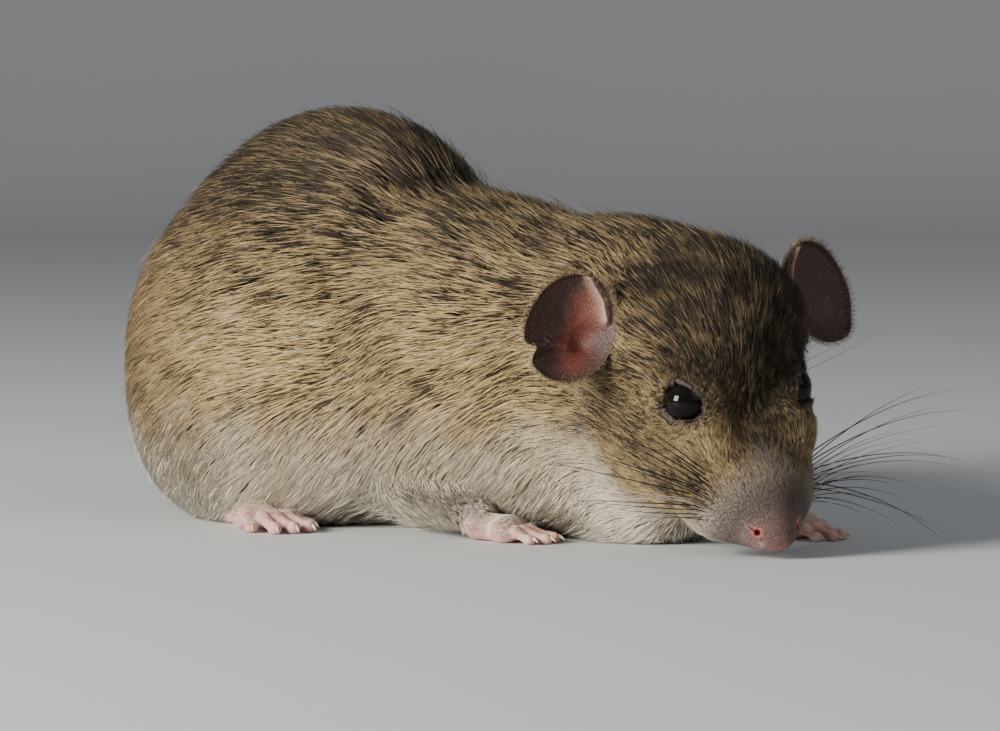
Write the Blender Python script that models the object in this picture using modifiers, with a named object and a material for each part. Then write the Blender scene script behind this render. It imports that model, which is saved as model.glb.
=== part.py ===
"""Young brown rat (Rattus norvegicus) crouched on the floor with its head lowered, life size.

Each part of the body is one closed solid that reaches to the tips of the coat. Sizes are written in
millimetres and made metres by MM. +X is forward, +Y the rat's left, the floor is at z = 0.
"""
from math import cos, pi, radians, sin

import bmesh
import bpy
import numpy as np
from mathutils import Matrix, Vector

MM = 0.001
GAP = 0.3
FLOOR_SOFTNESS = 0.5            # of the rounded edge round each flat that the coat has on the floor
SOLE_SOFTNESS = 0.12
FLAT_HEIGHT = 0.25              # what is lower than this lies on the floor
RIGHT, LEFT = -1, 1

# The head points down and a little to the right, and is rolled over to the right.
NOSE_TIP = (75.0, -11.5, 2.8)
HEAD_HEADING, HEAD_PITCH, HEAD_ROLL = -17.0, -47.0, 8.0

# Eyes and ears, in head axes from the tip of the nose: forward, left, up.
EYE_CENTRE = (-21.5, 8.9, 8.6)
EYE_OUTWARD, EYE_CORNER = (0.42, 0.66, 0.62), (0.76, -0.64, -0.16)
EYE_RADIUS = 3.5
LID_LENGTH, LID_HEIGHT, LID_THICKNESS, LID_REACH = 7.4, 6.4, 0.7, 4.15
OPENING_LENGTH, OPENING_HEIGHT, OPENING_DEPTH = 6.5, 5.5, 5.0
EAR_CENTRES = {RIGHT: (-37.0, 22.3, 10.1), LEFT: (-36.3, 20.1, 11.9)}
EAR_OUTWARD = (-0.62, 0.78, 0.05)
EAR_FACING = (0.57, 0.22, 0.72)
EAR_LENGTH, EAR_WIDTH, EAR_DEPTH, EAR_THICKNESS = 7.0, 8.6, 3.6, 0.8
EAR_NOTCH_ANGLE, EAR_NOTCH_WIDTH, EAR_NOTCH_DEPTH = -50.0, 12.0, 0.2
NOSTRIL = (-1.5, 3.3, 1.1)
NOSTRIL_RADII = (1.2, 0.8, 0.7)
MOUTH_CORNER = (-13.5, 5.4, -6.3)
MOUTH_FRONT = (-3.4, 0.0, -3.6)

# Feet: heel or wrist, tips of the middle toe, on the floor.
HIND_HEEL, HIND_TIP = (-35.5, 20.5), (-7.0, 29.5)
FORE_WRIST_RIGHT, FORE_TIP_RIGHT = (22.0, -18.5), (34.0, -15.0)
FORE_WRIST_LEFT, FORE_TIP_LEFT = (53.0, 16.5), (65.5, 17.5)

# The tail lies on the floor round the far flank: place and radius at each bend.
TAIL = [((-47, 3, 13), 5.0), ((-57, 15, 6.5), 3.9), ((-58, 28, 3.4), 3.3), ((-48, 42, 2.9), 2.9),
        ((-25, 52, 2.5), 2.5), ((0, 53, 2.1), 2.1), ((22, 47, 1.6), 1.6), ((34, 38, 0.8), 0.8)]
TAIL_LENGTHS, TAIL_STEPS = 4, 9

COAT, SKIN, EYE = (0.33, 0.25, 0.15), (0.72, 0.47, 0.42), (0.01, 0.008, 0.008)


def unit(vector):
    return np.asarray(vector, float) / np.linalg.norm(vector)


def turned(degrees, axis):
    return np.array(Matrix.Rotation(radians(degrees), 3, axis))


def head_axes():
    """Columns: forward, left and up of the head, in world axes."""
    heading, pitch, roll = (radians(angle) for angle in (HEAD_HEADING, HEAD_PITCH, HEAD_ROLL))
    forward = np.array((cos(heading) * cos(pitch), sin(heading) * cos(pitch), sin(pitch)))
    level = unit(np.cross((0, 0, 1), forward))
    left = level * cos(roll) + np.cross(forward, level) * sin(roll)
    return np.stack((forward, left, np.cross(forward, left)), 1)


HEAD_AXES = head_axes()


def in_head(place):
    """World place of a point given in head axes."""
    return NOSE_TIP + HEAD_AXES @ np.asarray(place, float)


def on_side(place, side):
    return np.array(place, float) * (1, side, 1)


class Ellipsoid:
    """A blob with its centre, three radii and the columns of its axes."""

    def __init__(self, centre, radii, axes=None):
        self.centre = np.asarray(centre, float)
        self.radii = np.asarray(radii, float)
        self.axes = np.eye(3) if axes is None else axes

    def distance(self, points):
        local = (points - self.centre) @ self.axes
        near = np.linalg.norm(local / self.radii, axis=1) + 1e-9
        slope = np.linalg.norm(local / self.radii ** 2, axis=1) + 1e-9
        return near * (near - 1) / slope

    def over(self, sphere):
        """Points of a unit sphere stretched over the blob."""
        return self.centre + (sphere * self.radii) @ self.axes.T


class Limb:
    """A rod with round ends, whose radius changes evenly from one end to the other."""

    def __init__(self, start, end, start_radius, end_radius):
        self.start, self.end = np.asarray(start, float), np.asarray(end, float)
        self.radii = (start_radius, end_radius)

    def distance(self, points):
        along = self.end - self.start
        part = np.clip((points - self.start) @ along / (along @ along), 0, 1)
        radius = self.radii[0] + (self.radii[1] - self.radii[0]) * part
        return np.linalg.norm(points - self.start - part[:, None] * along, axis=1) - radius

    def over(self, sphere):
        far = (sphere @ (self.end - self.start) > 0)[:, None]
        return np.where(far, self.end + sphere * self.radii[1], self.start + sphere * self.radii[0])


def blended(distances, softness):
    """Smooth union of blobs: they melt into each other over about the softness."""
    nearest = np.min(distances, axis=0)
    return nearest - softness * np.log(np.exp((nearest - distances) / softness).sum(0))


class Form:
    """Groups of blobs, each with its own softness, that melt together and stop at the floor."""

    def __init__(self, groups, softness, edge=FLOOR_SOFTNESS):
        self.groups, self.softness, self.edge = groups, softness, edge
        self.blobs = [blob for blobs, _ in groups for blob in blobs]

    def distance(self, points):
        groups = [blended(np.stack([blob.distance(points) for blob in blobs]), softness)
                  for blobs, softness in self.groups]
        body = blended(np.stack(groups), self.softness)
        return -blended(np.stack((-body, points[:, 2])), self.edge)

    def pulled(self, points, offset=0.0, steps=6):
        """Points moved along the form's slope until they lie on its surface, or an offset above it."""
        reach = 0.01
        for _ in range(steps):
            distance = self.distance(points)
            shifts = np.eye(3) * reach
            slope = np.stack([self.distance(points + shift) - self.distance(points - shift)
                              for shift in shifts], 1) / (2 * reach)
            slope /= np.maximum((slope ** 2).sum(1, keepdims=True), 0.25)
            points = points - np.clip(distance - offset, -0.8, 0.8)[:, None] * slope
        return points


def pair(centre, radii):
    """Two like blobs on the two sides of the head."""
    return [Ellipsoid(in_head(on_side(centre, side)), radii, HEAD_AXES) for side in (RIGHT, LEFT)]


def middle(centre, radii):
    return Ellipsoid(in_head(centre), radii, HEAD_AXES)


TRUNK_BLOBS = [
    Ellipsoid((-22.7, 0, 33.8), (31.3, 25.7, 33.8), turned(9, "Y")),
    Ellipsoid((-35.8, 0, 29.2), (25.2, 26.3, 25.3)),
    Ellipsoid((-24.9, -15.5, 18.7), (26.1, 16, 20.3)),
    Ellipsoid((-24.9, 15.5, 18.7), (26.1, 16, 20.3)),
    Ellipsoid((-27.3, -15.8, 10.9), (18.7, 9, 9.1)),
    Ellipsoid((-27.3, 15.8, 10.9), (18.7, 9, 9.1)),
    Ellipsoid((12.5, 0, 30.4), (36.4, 24.3, 22.8), turned(12, "Y")),
    Ellipsoid((39.6, 0, 28.6), (18, 18.5, 20.5)),
    Ellipsoid((42.4, -1, 12.6), (13.3, 13, 14.4)),
    Ellipsoid((20.2, 0, 16.8), (30.1, 17.8, 17.5)),
    Ellipsoid((0.3, 0, 19.4), (40.2, 23.8, 20.1)),
]
FORELEG_BLOBS = [
    Limb((6, -18, 8), (22, -18, 3.2), 6.0, 3.4),
    Limb((36, 14, 13), (52, 16.3, 3.4), 6.5, 3.4),
]
NECK_BLOBS = [Limb((34.2, 0, 30.2), in_head((-37.5, 0, 1.7)), 18.3, 17.3)]
HEAD_BLOBS = [
    middle((-31.8, 0, 4.0), (14.4, 14.4, 13.6)),
    middle((-33.5, 0, 10.3), (11.3, 14.5, 11.4)),
    *pair((-25, 8, -2.5), (11, 7.0, 8)),
    *pair((-22, 6.5, -5.0), (9.5, 6.5, 6)),
    *pair((-19.9, 7.1, 5.8), (8.9, 5.2, 4.7)),
    middle((-17.7, 0, 1.1), (14.7, 10.1, 7.9)),
    middle((-12.2, 0, -1.0), (9.2, 7.6, 6.0)),
    *pair((-10.5, 5.0, -1.6), (6.1, 5.3, 5.8)),
    middle((-5.6, 0, -0.3), (4.9, 3.7, 3.3)),
    middle((-1.9, 0, 0.2), (3.1, 2.5, 1.7)),
    middle((-16.8, 0, -6.3), (9.7, 7.2, 4.9)),
]


def eye_axes(side):
    """Columns: outward, along the opening and across it, in world axes."""
    outward = unit(on_side(EYE_OUTWARD, side))
    corner = on_side(EYE_CORNER, side)
    along = unit(corner - outward * (outward @ corner))
    return HEAD_AXES @ np.stack((outward, along, np.cross(outward, along)), 1)


def lid_blobs(side, body, pieces=16):
    """The rim of the lids: rods end to end round an oval, over the eyeball or, if higher, on the coat."""
    axes, centre = eye_axes(side), in_head(on_side(EYE_CENTRE, side))
    ring = []
    for step in range(pieces):
        angle = 2 * pi * step / pieces
        along, across = LID_LENGTH / 2 * cos(angle), LID_HEIGHT / 2 * sin(angle)
        out = (LID_REACH ** 2 - along ** 2 - across ** 2) ** 0.5
        ring.append(centre + axes @ (out, along, across))
    sunk = np.minimum(body.distance(np.array(ring)), 0)
    ring = np.array(ring) - sunk[:, None] * axes[:, 0]
    return [Limb(ring[step - 1], ring[step], LID_THICKNESS, LID_THICKNESS) for step in range(pieces)]


def lip_blobs(side):
    """The upper lip: a roll from the front of the mouth to its corner."""
    front, corner = in_head(MOUTH_FRONT), in_head(on_side(MOUTH_CORNER, side))
    bend = (front + corner) / 2 + HEAD_AXES @ (1.2, 1.4 * side, 0.6)
    return [Limb(front, bend, 0.9, 1.1), Limb(bend, corner, 1.1, 0.7)]


def body_form(fine):
    """The whole coat, with the lids and lips where they are wanted."""
    groups = [(TRUNK_BLOBS, 3.0), (FORELEG_BLOBS, 2.0), (NECK_BLOBS, 3.0), (HEAD_BLOBS, 1.4)]
    body = Form(groups, 2.5)
    if not fine:
        return body
    details = [lid_blobs(RIGHT, body) + lid_blobs(LEFT, body), lip_blobs(RIGHT) + lip_blobs(LEFT)]
    return FineForm(body, [blob for blobs in details for blob in blobs], 0.35)


class FineForm(Form):
    """A form with small details added on, over a much shorter softness."""

    def __init__(self, base, details, softness):
        self.base, self.details, self.softness = base, details, softness
        self.blobs = base.blobs + details

    def distance(self, points):
        details = np.min([blob.distance(points) for blob in self.details], axis=0)
        return blended(np.stack((self.base.distance(points), details)), self.softness)


class Boxed(Form):
    """The part of a form inside a box, given by two corners in axes of its own."""

    def __init__(self, base, low, high, axes, origin):
        self.base, self.axes, self.origin = base, axes, np.asarray(origin, float)
        self.middle, self.half = (np.asarray(low) + high) / 2, (np.asarray(high) - low) / 2

    def distance(self, points):
        local = np.abs((points - self.origin) @ self.axes - self.middle) - self.half
        return np.maximum(self.base.distance(points), local.max(1))


def new_collection(name):
    collection = bpy.data.collections.new(name)
    bpy.context.scene.collection.children.link(collection)
    return collection


def material(name, colour, roughness):
    shade = bpy.data.materials.new(name)
    shade.use_nodes = True
    surface = shade.node_tree.nodes["Principled BSDF"]
    surface.inputs["Base Color"].default_value = (*colour, 1)
    surface.inputs["Roughness"].default_value = roughness
    return shade


def new_object(name, mesh, collection):
    made = bpy.data.objects.new(name, mesh)
    collection.objects.link(made)
    return made


def points_of(mesh):
    points = np.empty(len(mesh.vertices) * 3)
    mesh.vertices.foreach_get("co", points)
    return points.reshape(-1, 3) / MM


def set_points(mesh, points):
    mesh.vertices.foreach_set("co", (points * MM).ravel())
    mesh.update()


def applied(made, *modifiers):
    """Add each modifier, given as its kind and settings, then make its result the object's mesh."""
    for kind, settings in modifiers:
        modifier = made.modifiers.new(kind.title(), kind)
        for setting, value in settings.items():
            setattr(modifier, setting, value)
    shown = made.evaluated_get(bpy.context.evaluated_depsgraph_get())
    old, made.data = made.data, bpy.data.meshes.new_from_object(shown)
    made.modifiers.clear()
    bpy.data.meshes.remove(old)
    return made


def ball(collection, name, shape, subdivisions=3):
    """A sphere stretched over one blob."""
    mesh = bpy.data.meshes.new(name)
    shell = bmesh.new()
    bmesh.ops.create_icosphere(shell, subdivisions=subdivisions, radius=1.0)
    shell.to_mesh(mesh)
    shell.free()
    sphere = points_of(mesh) * MM
    set_points(mesh, shape.over(sphere))
    return new_object(name, mesh, collection)


def blob_mesh(collection, name, blobs):
    """Spheres stretched over each blob, in one mesh."""
    shell = bmesh.new()
    for blob in blobs:
        piece = ball(collection, name + "_blob", blob)
        shell.from_mesh(piece.data)
        bpy.data.meshes.remove(piece.data)
    mesh = bpy.data.meshes.new(name)
    shell.to_mesh(mesh)
    shell.free()
    return new_object(name, mesh, collection)


def sculpted(made, form, voxel, triangles, offset=0.0):
    """Fuse a rough mesh by Remesh and draw it on to a form, twice, so that it closes cleanly."""
    for _ in range(2):
        applied(made, ("REMESH", {"mode": "VOXEL", "voxel_size": voxel * MM}))
        set_points(made.data, form.pulled(points_of(made.data), offset))
    applied(made, ("TRIANGULATE", {}))
    ratio = min(1.0, triangles / len(made.data.polygons))
    applied(made, ("DECIMATE", {"ratio": ratio}))
    set_points(made.data, floored(points_of(made.data), -offset))
    return made


def floored(points, level):
    """Points close over the floor are laid on it, as small flats."""
    points[:, 2] = np.where(points[:, 2] < level + FLAT_HEIGHT, level, points[:, 2])
    return points


def cutter_box(collection, name, low, high, axes=None, origin=(0, 0, 0)):
    """A box between two corners given in the axes and from the origin named."""
    mesh = bpy.data.meshes.new(name)
    shell = bmesh.new()
    bmesh.ops.create_cube(shell, size=1.0)
    shell.to_mesh(mesh)
    shell.free()
    low, high = np.asarray(low, float), np.asarray(high, float)
    corners = points_of(mesh) * MM * (high - low) + (low + high) / 2
    axes = np.eye(3) if axes is None else axes
    set_points(mesh, np.asarray(origin, float) + corners @ axes.T)
    return as_cutter(new_object(name, mesh, collection))


def as_cutter(made):
    made.hide_render = True
    made.display_type = "WIRE"
    return made


def cut(made, operation, cutter, solver="EXACT"):
    return applied(made, ("BOOLEAN", {"operation": operation, "object": cutter, "solver": solver}))


def copied(made, name, collection):
    return new_object(name, made.data.copy(), collection)


def cleaned(made):
    """Keep the largest closed surface, free of slivers and in triangles."""
    shell = bmesh.new()
    shell.from_mesh(made.data)
    bmesh.ops.remove_doubles(shell, verts=shell.verts, dist=0.03 * MM)
    bmesh.ops.dissolve_degenerate(shell, edges=shell.edges, dist=0.03 * MM)
    bmesh.ops.triangulate(shell, faces=shell.faces)
    unseen, bodies = set(shell.verts), []
    while unseen:
        queue = [unseen.pop()]
        body = set(queue)
        while queue:
            for edge in queue.pop().link_edges:
                for corner in edge.verts:
                    if corner in unseen:
                        unseen.discard(corner)
                        body.add(corner)
                        queue.append(corner)
        bodies.append(body)
    bodies.sort(key=len)
    for body in bodies[:-1]:
        bmesh.ops.delete(shell, geom=list(body), context="VERTS")
    bmesh.ops.recalc_face_normals(shell, faces=shell.faces)
    shell.to_mesh(made.data)
    shell.free()
    made.data.shade_smooth()
    made.data.set_sharp_from_angle(angle=radians(50))
    return made


def make_head(body, cutters, form):
    """Head, muzzle and jaw: parted by flat cuts, with the sockets, the nostrils and the mouth."""
    low, high = (np.array(corner) for corner in HEAD_BOX)
    fine = blob_mesh(cutters, "head_form", form.blobs)
    applied(fine, ("REMESH", {"mode": "VOXEL", "voxel_size": 0.9 * MM}))
    cut(fine, "INTERSECT", cutter_box(cutters, "head_rough", low - 2, high + 2, HEAD_AXES, NOSE_TIP), "MANIFOLD")
    sculpted(fine, Boxed(form, low - 1, high + 1, HEAD_AXES, NOSE_TIP), 0.5, 2500)
    cut(fine, "INTERSECT", cutter_box(cutters, "head_cut", low, high, HEAD_AXES, NOSE_TIP))
    pieces = {}
    for name, (low, high) in HEAD_PARTS.items():
        piece = copied(fine, name, body)
        cut(piece, "INTERSECT", cutter_box(cutters, name + "_cut", low, high, HEAD_AXES, NOSE_TIP))
        pieces[name] = piece
    for side in (RIGHT, LEFT):
        centre, axes = in_head(on_side(EYE_CENTRE, side)), eye_axes(side)
        socket = ball(cutters, "socket", Ellipsoid(centre, [EYE_RADIUS + GAP] * 3, axes))
        cut(pieces["head"], "DIFFERENCE", as_cutter(socket))
        opening = Ellipsoid(centre + axes[:, 0] * OPENING_DEPTH,
                            (OPENING_DEPTH, OPENING_LENGTH / 2, OPENING_HEIGHT / 2), axes)
        cut(pieces["head"], "DIFFERENCE", as_cutter(ball(cutters, "opening", opening)))
        turn = HEAD_AXES @ turned(-28 * side, "X") @ turned(22 * side, "Z")
        hole = Ellipsoid(in_head(on_side(NOSTRIL, side)), NOSTRIL_RADII, turn)
        cut(pieces["muzzle"], "DIFFERENCE", as_cutter(ball(cutters, "nostril", hole, 2)))
    return list(pieces.values())


# In head axes: the head's box, and the boxes of its three pieces.
HEAD_BOX = ((-42.0, -40, -13.0), (12.0, 40, 40))
MUZZLE_CUT, MOUTH_LEVEL = -15.0, -5.4
HEAD_PARTS = {
    "head": ((-60, -50, MOUTH_LEVEL - 40), (MUZZLE_CUT - GAP / 2, 50, 50)),
    "muzzle": ((MUZZLE_CUT + GAP / 2, -50, MOUTH_LEVEL + GAP / 2), (20, 50, 50)),
    "jaw": ((MUZZLE_CUT + GAP / 2, -50, -50), (20, 50, MOUTH_LEVEL - GAP / 2)),
}

# Places where the trunk is parted: the neck's plane, and the boxes and blobs of the limbs.
NECK_PLACE, NECK_SLOPE = (27.0, 0.0, 42.0), -30.0
CHEST_CUT = -2.0
THIGH = ((-22, 23, 19), (20.5, 13, 21))
UPPER_ARM_RIGHT = ((17.5, -20, 11), (15, 8.5, 13.5))
UPPER_ARM_LEFT = ((40, 18, 11), (16, 9.0, 14))


def make_trunk(body, cutters, form):
    """Neck, chest, abdomen and the fur-covered legs, parted from one coarse surface."""
    whole = sculpted(blob_mesh(cutters, "trunk_form", form.blobs), form, 1.8, 1700)
    away = cutter_box(cutters, "head_away", np.array(HEAD_BOX[0]) - GAP, np.array(HEAD_BOX[1]) + GAP,
                      HEAD_AXES, NOSE_TIP)
    cut(whole, "DIFFERENCE", away)
    legs = {
        "hindleg_right": Ellipsoid(on_side(THIGH[0], RIGHT), THIGH[1]),
        "hindleg_left": Ellipsoid(on_side(THIGH[0], LEFT), THIGH[1]),
        "foreleg_right": Ellipsoid(*UPPER_ARM_RIGHT),
        "foreleg_left": Ellipsoid(*UPPER_ARM_LEFT),
    }
    made = []
    for name, blob in legs.items():
        leg = copied(whole, name, body)
        cut(leg, "INTERSECT", as_cutter(ball(cutters, name + "_cut", blob)))
        made.append(leg)
    for name, blob in legs.items():
        wider = Ellipsoid(blob.centre, blob.radii + GAP)
        cut(whole, "DIFFERENCE", as_cutter(ball(cutters, name + "_away", wider)))
    slope = turned(NECK_SLOPE, "Y")
    parts = {
        "neck": [((GAP, -60, -60), (80, 60, 60), slope, NECK_PLACE)],
        "chest": [((CHEST_CUT + GAP / 2, -60, -5), (120, 60, 90), None, (0, 0, 0)),
                  ((-160, -60, -120), (0, 60, 120), slope, NECK_PLACE)],
        "abdomen": [((-120, -60, -5), (CHEST_CUT - GAP / 2, 60, 90), None, (0, 0, 0))],
    }
    for name, boxes in parts.items():
        piece = copied(whole, name, body)
        for low, high, axes, origin in boxes:
            cut(piece, "INTERSECT", cutter_box(cutters, name + "_cut", low, high, axes, origin))
        made.append(piece)
    return made


def make_eye(body, side):
    name = "eye_right" if side == RIGHT else "eye_left"
    shape = Ellipsoid(in_head(on_side(EYE_CENTRE, side)), [EYE_RADIUS] * 3, eye_axes(side))
    return ball(body, name, shape)


def ear_axes(side):
    """Columns: outward from the head, across the ear, and the way that its cup faces."""
    outward, facing = unit(on_side(EAR_OUTWARD, side)), on_side(EAR_FACING, side)
    facing = unit(facing - outward * (outward @ facing))
    return HEAD_AXES @ np.stack((outward, np.cross(facing, outward) * side, facing), 1)


def ear_point(ring, angle, side):
    """Place on the cup: ring runs from 0 at its middle to 1 at its rim, angle goes round from the tip."""
    notch = np.exp(-((np.degrees(angle) - EAR_NOTCH_ANGLE) / EAR_NOTCH_WIDTH) ** 2)
    radius = (EAR_LENGTH * np.cos(angle) ** 2 + EAR_WIDTH * np.sin(angle) ** 2) * (1 - EAR_NOTCH_DEPTH * notch)
    depth = EAR_DEPTH * (ring ** 2 - 1)
    local = np.stack((ring * radius * np.cos(angle), ring * radius * np.sin(angle), depth), 1)
    return in_head(on_side(EAR_CENTRES[side], side)) + local @ ear_axes(side).T


def make_ear(body, side, grown_head):
    """The cup of an ear: half a sphere laid out as a shallow dish, thickened, trimmed by the head."""
    name = "ear_right" if side == RIGHT else "ear_left"
    mesh = bpy.data.meshes.new(name)
    shell = bmesh.new()
    bmesh.ops.create_uvsphere(shell, u_segments=22, v_segments=8, radius=1.0)
    upper = [corner for corner in shell.verts if corner.co.z > 0.01]
    bmesh.ops.delete(shell, geom=upper, context="VERTS")
    shell.to_mesh(mesh)
    shell.free()
    disc = points_of(mesh) * MM
    angle = np.arctan2(disc[:, 1], disc[:, 0])
    ring = 1 - np.arctan2(-disc[:, 2], np.hypot(disc[:, 0], disc[:, 1])) / (pi / 2)
    set_points(mesh, ear_point(ring, angle, side))
    ear = new_object(name, mesh, body)
    applied(ear, ("SOLIDIFY", {"thickness": EAR_THICKNESS * MM, "offset": 0.0}))
    cut(ear, "DIFFERENCE", grown_head)
    return ear


def on_floor(place, height):
    return np.array((place[0], place[1], height), float)


def make_foot(body, name, heel, tip, toes, palm, side):
    """A foot flat on the floor: its sole, its toes with a raised knuckle, and a claw on each."""
    heel, tip = np.array(heel, float), np.array(tip, float)
    along = unit(tip - heel)
    across = np.array((-along[1], along[0])) * side
    length = np.linalg.norm(tip - heel)
    ball_place = heel + along * length * palm["share"]
    sole = [
        Limb(on_floor(heel, palm["rise"]), on_floor(ball_place, palm["height"]), palm["heel"], palm["radius"]),
        Limb(on_floor(ball_place - across * palm["spread"], palm["height"]),
             on_floor(ball_place + across * palm["spread"], palm["height"]), palm["radius"], palm["radius"]),
    ]
    digits = []
    for spread, reach, thickness in toes:
        root = ball_place + across * palm["spread"] * spread
        heading = unit(along + across * spread * 0.28)
        end = root + heading * (length - length * palm["share"]) * reach
        knuckle = root + (end - root) * 0.45
        height = thickness + 1.0
        digits += [
            Limb(on_floor(root, palm["height"]), on_floor(knuckle, height), thickness * 1.25, thickness),
            Limb(on_floor(knuckle, height), on_floor(end, thickness * 0.8), thickness, thickness * 0.85),
            Limb(on_floor(end, thickness), on_floor(end + heading * 1.9, 0.45), thickness * 0.6, 0.3),
        ]
    form = Form([(sole, 0.8), (digits, 0.35)], 0.5, SOLE_SOFTNESS)
    return sculpted(blob_mesh(body, name, form.blobs), form, 0.42, palm["triangles"])


HIND_TOES = [(-1.05, 0.72, 0.95), (-0.55, 0.97, 1.05), (0.0, 1.0, 1.05), (0.55, 0.94, 1.05), (1.15, 0.55, 0.95)]
FORE_TOES = [(-1.0, 0.8, 0.8), (-0.35, 1.0, 0.85), (0.35, 0.98, 0.85), (1.0, 0.74, 0.8)]
HIND_PALM = {"share": 0.66, "height": 1.8, "heel": 2.5, "radius": 1.9, "spread": 2.9,
             "rise": 2.8, "triangles": 400}
FORE_PALM = {"share": 0.42, "height": 1.7, "heel": 2.3, "radius": 1.7, "spread": 2.1,
             "rise": 2.5, "triangles": 340}


def tail_path(steps):
    """Smooth run through the tail's bends: places, radii and the length along it."""
    places, radii = (np.array([bend[item] for bend in TAIL], float) for item in (0, 1))
    part = np.linspace(0, len(TAIL) - 1, steps)
    index = np.minimum(part.astype(int), len(TAIL) - 2)
    share = (part - index)[:, None]
    padded = np.vstack((2 * places[0] - places[1], places, 2 * places[-1] - places[-2]))
    before, start, end, after = (padded[index + shift] for shift in range(4))
    bent = 0.5 * (2 * start + (end - before) * share
                  + (2 * before - 5 * start + 4 * end - after) * share ** 2
                  + (3 * start - before - 3 * end + after) * share ** 3)
    return bent, np.interp(part, range(len(TAIL)), radii)


def make_tail(body, grown_body):
    """The tail in lengths: round tubes that taper, lie on a narrow flat and meet end to end."""
    places, radii = tail_path(TAIL_LENGTHS * TAIL_STEPS + 1)
    places[:, 2] = np.maximum(places[:, 2], radii * 0.96)
    made = []
    for number in range(TAIL_LENGTHS):
        first, last = number * TAIL_STEPS, (number + 1) * TAIL_STEPS
        run, sizes = list(places[first:last + 1]), radii[first:last + 1]
        if number:
            run[:1] = square_end(places, first, 1)
            sizes = np.insert(sizes, 0, sizes[0])
        if number < TAIL_LENGTHS - 1:
            run[-1:] = square_end(places, last, -1)[::-1]
            sizes = np.append(sizes, sizes[-1])
        made.append(tube(body, f"tail_{number + 1}", run, sizes))
    cut(made[0], "DIFFERENCE", grown_body)
    return made


def square_end(places, index, way):
    """Two places that end a length of tail square to its path, half a gap from the joint."""
    heading = unit(places[index + 1] - places[index - 1]) * way
    return [places[index] + heading * GAP / 2, places[index] + heading]


def tube(collection, name, run, sizes):
    curve = bpy.data.curves.new(name, "CURVE")
    curve.dimensions, curve.bevel_depth, curve.bevel_resolution = "3D", MM, 2
    curve.use_fill_caps, curve.twist_mode = True, "Z_UP"
    spline = curve.splines.new("POLY")
    spline.points.add(len(run) - 1)
    for point, place, size in zip(spline.points, run, sizes):
        point.co = (*(place * MM), 1)
        point.radius = size
    line = new_object(name + "_line", curve, collection)
    shown = line.evaluated_get(bpy.context.evaluated_depsgraph_get())
    mesh = bpy.data.meshes.new_from_object(shown)
    bpy.data.objects.remove(line)
    shell = bmesh.new()
    shell.from_mesh(mesh)
    bmesh.ops.remove_doubles(shell, verts=shell.verts, dist=0.01 * MM)
    shell.to_mesh(mesh)
    shell.free()
    points = points_of(mesh)
    points[:, 2] = np.maximum(points[:, 2], 0)
    set_points(mesh, points)
    return new_object(name, mesh, collection)


def trim_feet(feet, grown_body):
    for foot in feet:
        cut(foot, "DIFFERENCE", grown_body)


def centred(parts):
    """Move every piece so that the origin is the middle of the floor that the rat's box covers."""
    corners = np.vstack([points_of(part.data) for part in parts])
    low, high = corners.min(0), corners.max(0)
    shift = Vector((*(low + high)[:2] / 2, low[2])) * MM
    for part in parts:
        part.location = -shift


def main():
    for made in list(bpy.data.objects):
        bpy.data.objects.remove(made)
    body, cutters = new_collection("brown_rat"), new_collection("cutters")
    coarse, fine = body_form(False), body_form(True)
    rough = blob_mesh(cutters, "body_and_gap", coarse.blobs)
    grown = as_cutter(sculpted(rough, coarse, 1.8, 4600, offset=GAP + 0.1))
    parts = make_trunk(body, cutters, coarse)
    parts += make_head(body, cutters, fine)
    ears = [make_ear(body, side, grown) for side in (RIGHT, LEFT)]
    hind = [make_foot(body, name, on_side((*HIND_HEEL, 0), side)[:2], on_side((*HIND_TIP, 0), side)[:2],
                      HIND_TOES, HIND_PALM, side)
            for name, side in (("hindfoot_right", RIGHT), ("hindfoot_left", LEFT))]
    fore = [make_foot(body, "forefoot_right", FORE_WRIST_RIGHT, FORE_TIP_RIGHT, FORE_TOES, FORE_PALM, RIGHT),
            make_foot(body, "forefoot_left", FORE_WRIST_LEFT, FORE_TIP_LEFT, FORE_TOES, FORE_PALM, LEFT)]
    trim_feet(hind + fore, grown)
    tail = make_tail(body, grown)
    eyes = [make_eye(body, side) for side in (RIGHT, LEFT)]
    coat, skin = material("coat", COAT, 0.8), material("bare_skin", SKIN, 0.55)
    wet = material("eye", EYE, 0.05)
    for group, shade in ((parts, coat), (ears + hind + fore + tail, skin), (eyes, wet)):
        for part in group:
            cleaned(part)
            part.data.materials.clear()
            part.data.materials.append(shade)
    centred(parts + ears + hind + fore + tail + eyes)
    for cutter in list(cutters.objects):
        bpy.data.objects.remove(cutter)


main()
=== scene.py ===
"""Young brown rat, crouched, head lowered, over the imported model: hide, eyes, ears, feet, tail and coat."""
from math import cos, pi, radians, sin

import bmesh
import bpy
import numpy as np
from mathutils import Matrix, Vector
from mathutils.kdtree import KDTree


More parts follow.
